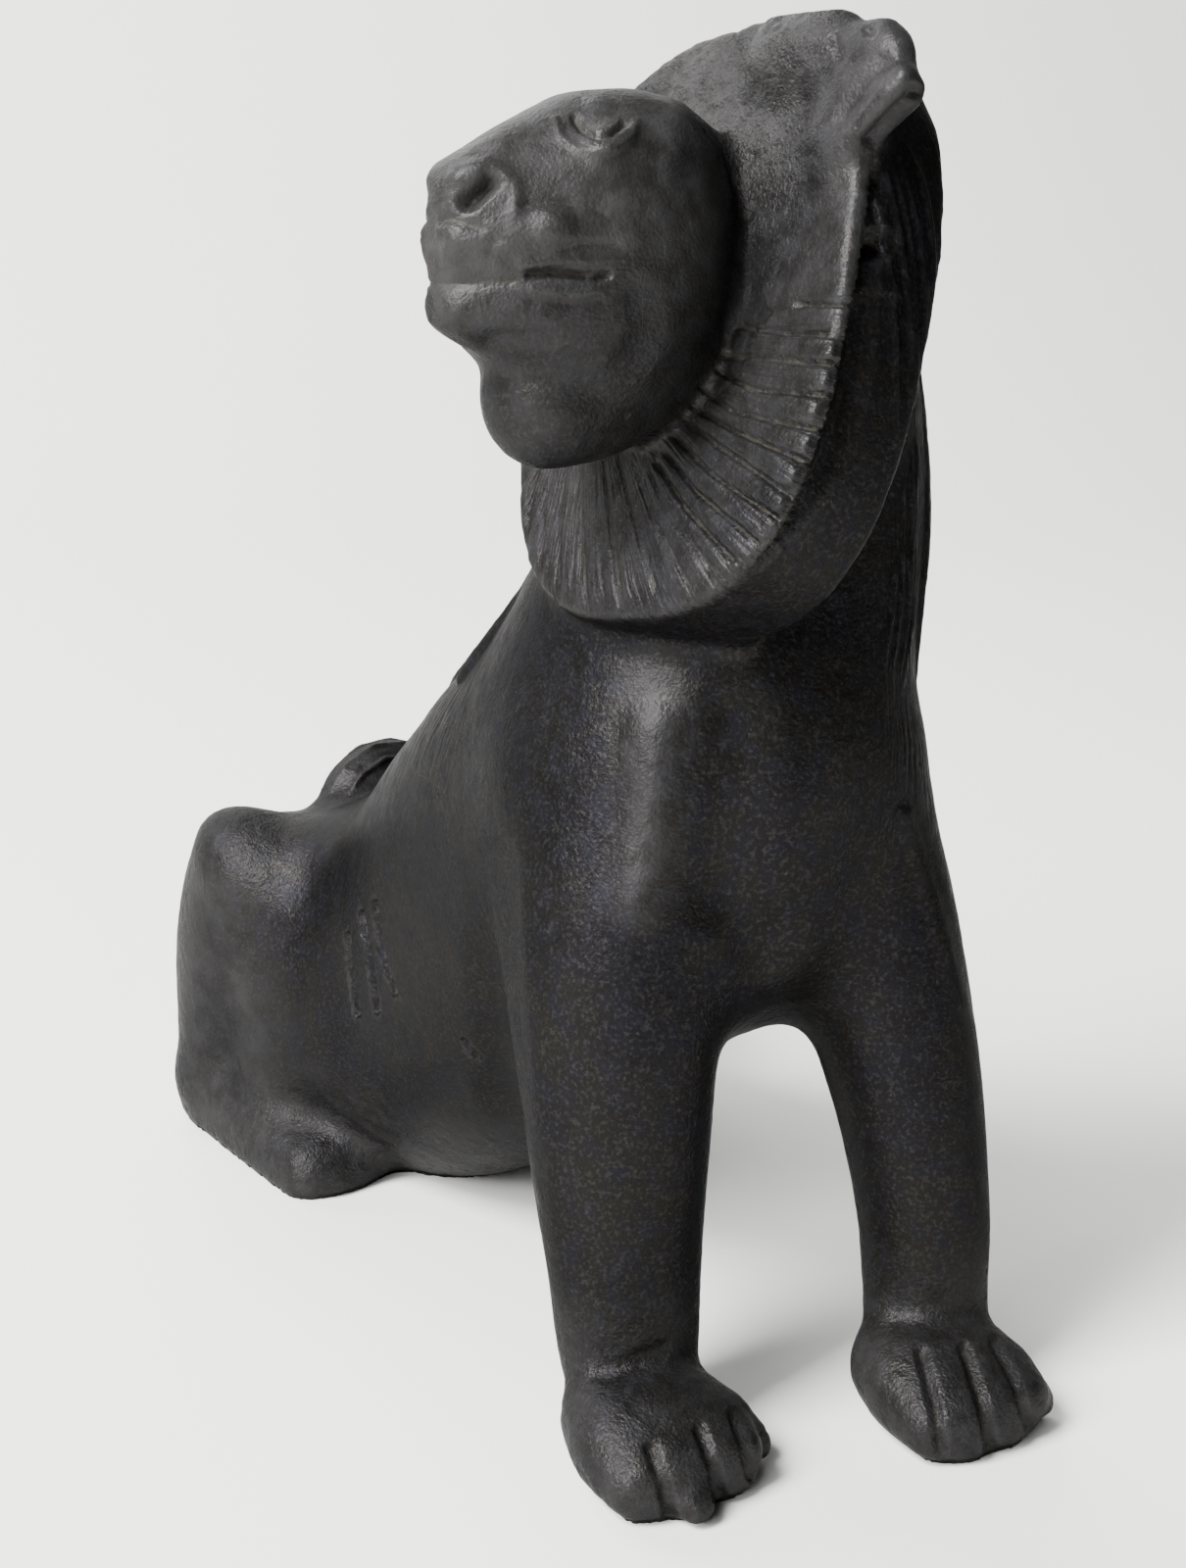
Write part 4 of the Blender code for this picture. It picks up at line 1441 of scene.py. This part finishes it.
def bronzeMaterial():
    material = bpy.data.materials.new("darkPatinatedCastBronze")
    material.use_nodes = True
    tree = material.node_tree
    shader = tree.nodes["Principled BSDF"]
    place = addNode(tree, "ShaderNodeTexCoord", (), "Object")
    lay = addNode(tree, "ShaderNodeAttribute", (), "Vector", attribute_name="comb")
    made = {"combed": addNode(tree, "ShaderNodeSeparateXYZ", [lay], "Z")}
    # dust and the painted highlight down the chest's ridge come in as one attribute
    for name in ("fineRelief", "broadRelief", "eaten", "dustAndPaintedSheen"):
        made[name] = addNode(tree, "ShaderNodeAttribute", (), "Fac", attribute_name=name)
    for name, (scale, detail) in bronze["patterns"].items():
        inputs = {"Vector": place, "Scale": scale, "Detail": detail, "Roughness": 0.55}
        made[name] = addNode(tree, "ShaderNodeTexNoise", inputs, "Fac")
    inputs = [lay, bronze["combStretch"]]
    stretched = addNode(tree, "ShaderNodeVectorMath", inputs, operation="MULTIPLY")
    inputs = {"Vector": stretched, "Scale": 1.0, "Detail": 2.0}
    made["lines"] = addNode(tree, "ShaderNodeTexNoise", inputs, "Fac")
    for name, (source, *limits) in bronze["parts"].items():
        made[name] = addNode(tree, "ShaderNodeMapRange", [made[source], *limits])
    for name, operation, *values in bronze["sums"]:
        inputs = [made.get(value, value) for value in values]
        made[name] = addNode(tree, "ShaderNodeMath", inputs, operation=operation)
    colour = linear(bronze["oxide"])
    for amount, over in bronze["layers"]:
        inputs = {0: made[amount], 6: colour, 7: linear(bronze[over])}
        colour = addNode(tree, "ShaderNodeMix", inputs, 2, data_type="RGBA")
    strength, deep = bronze["bump"]
    inputs = {"Strength": strength, "Distance": deep, "Height": made["height"]}
    # less metallic under the dust film and under the painted highlight
    metallic = [made["paleFilmAndSheenAmount"], 0.0, 1.0, *bronze["metallic"]]
    links = {
        "Base Color": colour,
        "Roughness": made["rough"],
        "Metallic": addNode(tree, "ShaderNodeMapRange", metallic),
        "Normal": addNode(tree, "ShaderNodeBump", inputs),
    }
    for name, value in links.items():
        tree.links.new(value, shader.inputs[name])
    shader.inputs["Specular Tint"].default_value = (*[bronze["grazing"]] * 3, 1.0)
    shader.inputs["Specular IOR Level"].default_value = bronze["specular"]
    return material


def makeLion():
    material = bronzeMaterial()
    mesh = castLion(material)
    mesh.name = "bronzeLion"
    mesh.materials.clear()
    mesh.materials.append(material)
    mesh.shade_smooth()
    lion = addObject("bronzeLion", mesh)
    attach(lion, "root")
    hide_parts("lion")
    print("lion ready")


makeLion()


# a pale paper sweep and soft light from the upper left, as in the photograph

studio = {
    "paper": "#f1f1ee",
    "world": "#f2f4f8",
    "worldStrength": 0.03,
    # right, ahead and up of the lion as the camera sees it, size and power in watts
    "lights": {
        "backLeft": ((-0.45, 0.30, 0.30), 0.25, 2.8),
        "frontLeft": ((-0.38, -0.32, 0.27), 0.22, 4.4),
        "highFrontLeft": ((-0.28, -0.24, 0.45), 0.20, 9.6),
        "besideCamera": ((-0.18, -0.45, 0.26), 0.20, 1.2),
        "highBack": ((-0.20, 0.42, 0.45), 0.35, 3.6),
    },
    "lookAt": (0, 0, 0.03),
    # of the sweep, in metres: its front edge, where it starts to bend, the bend, top and half width
    "paperFront": -0.32,
    "bendFrom": 0.30,
    "bend": 0.30,
    "paperTop": 1.6,
    "paperHalf": 1.6,
    "paperRoughness": 0.75,
}


def makeStudio():
    paper = bpy.data.materials.new("palePaper")
    paper.use_nodes = True
    shader = paper.node_tree.nodes["Principled BSDF"]
    shader.inputs["Base Color"].default_value = linear(studio["paper"])
    shader.inputs["Roughness"].default_value = studio["paperRoughness"]
    ahead, right, up = photoAxes()
    level = Vector((ahead.x, ahead.y, 0)).normalized()
    shape = bmesh.new()
    rows = []
    start, bend = studio["bendFrom"], studio["bend"]
    profile = [(studio["paperFront"], 0.0), (start, 0.0)]
    for angle in np.linspace(0.1, math.pi / 2, 14):
        profile.append((start + bend * math.sin(angle), bend - bend * math.cos(angle)))
    profile.append((start + bend, studio["paperTop"]))
    for along, height in profile:
        spine = level * along + Vector((0, 0, height))
        sides = (-studio["paperHalf"], studio["paperHalf"])
        rows.append([shape.verts.new(spine + right * side) for side in sides])
    for a, b in zip(rows[:-1], rows[1:]):
        shape.faces.new((a[0], a[1], b[1], b[0]))
    mesh = bpy.data.meshes.new("paperSweep")
    shape.to_mesh(mesh)
    shape.free()
    mesh.shade_smooth()
    mesh.materials.append(paper)
    sweep = addObject("paperSweep", mesh)
    for name, (place, size, power) in studio["lights"].items():
        lamp = bpy.data.lights.new(name, "AREA")
        lamp.size = size
        lamp.energy = power
        holder = addObject(name, lamp)
        holder.location = right * place[0] + level * place[1] + Vector((0, 0, place[2]))
        holder.rotation_mode = "QUATERNION"
        sight = Vector(studio["lookAt"]) - holder.location
        holder.rotation_quaternion = sight.to_track_quat("-Z", "Y")
    world = bpy.data.worlds.new("paleRoom")
    world.use_nodes = True
    light = world.node_tree.nodes["Background"].inputs
    light["Color"].default_value = linear(studio["world"])
    light["Strength"].default_value = studio["worldStrength"]
    bpy.context.scene.world = world


makeStudio()
print("studio ready")
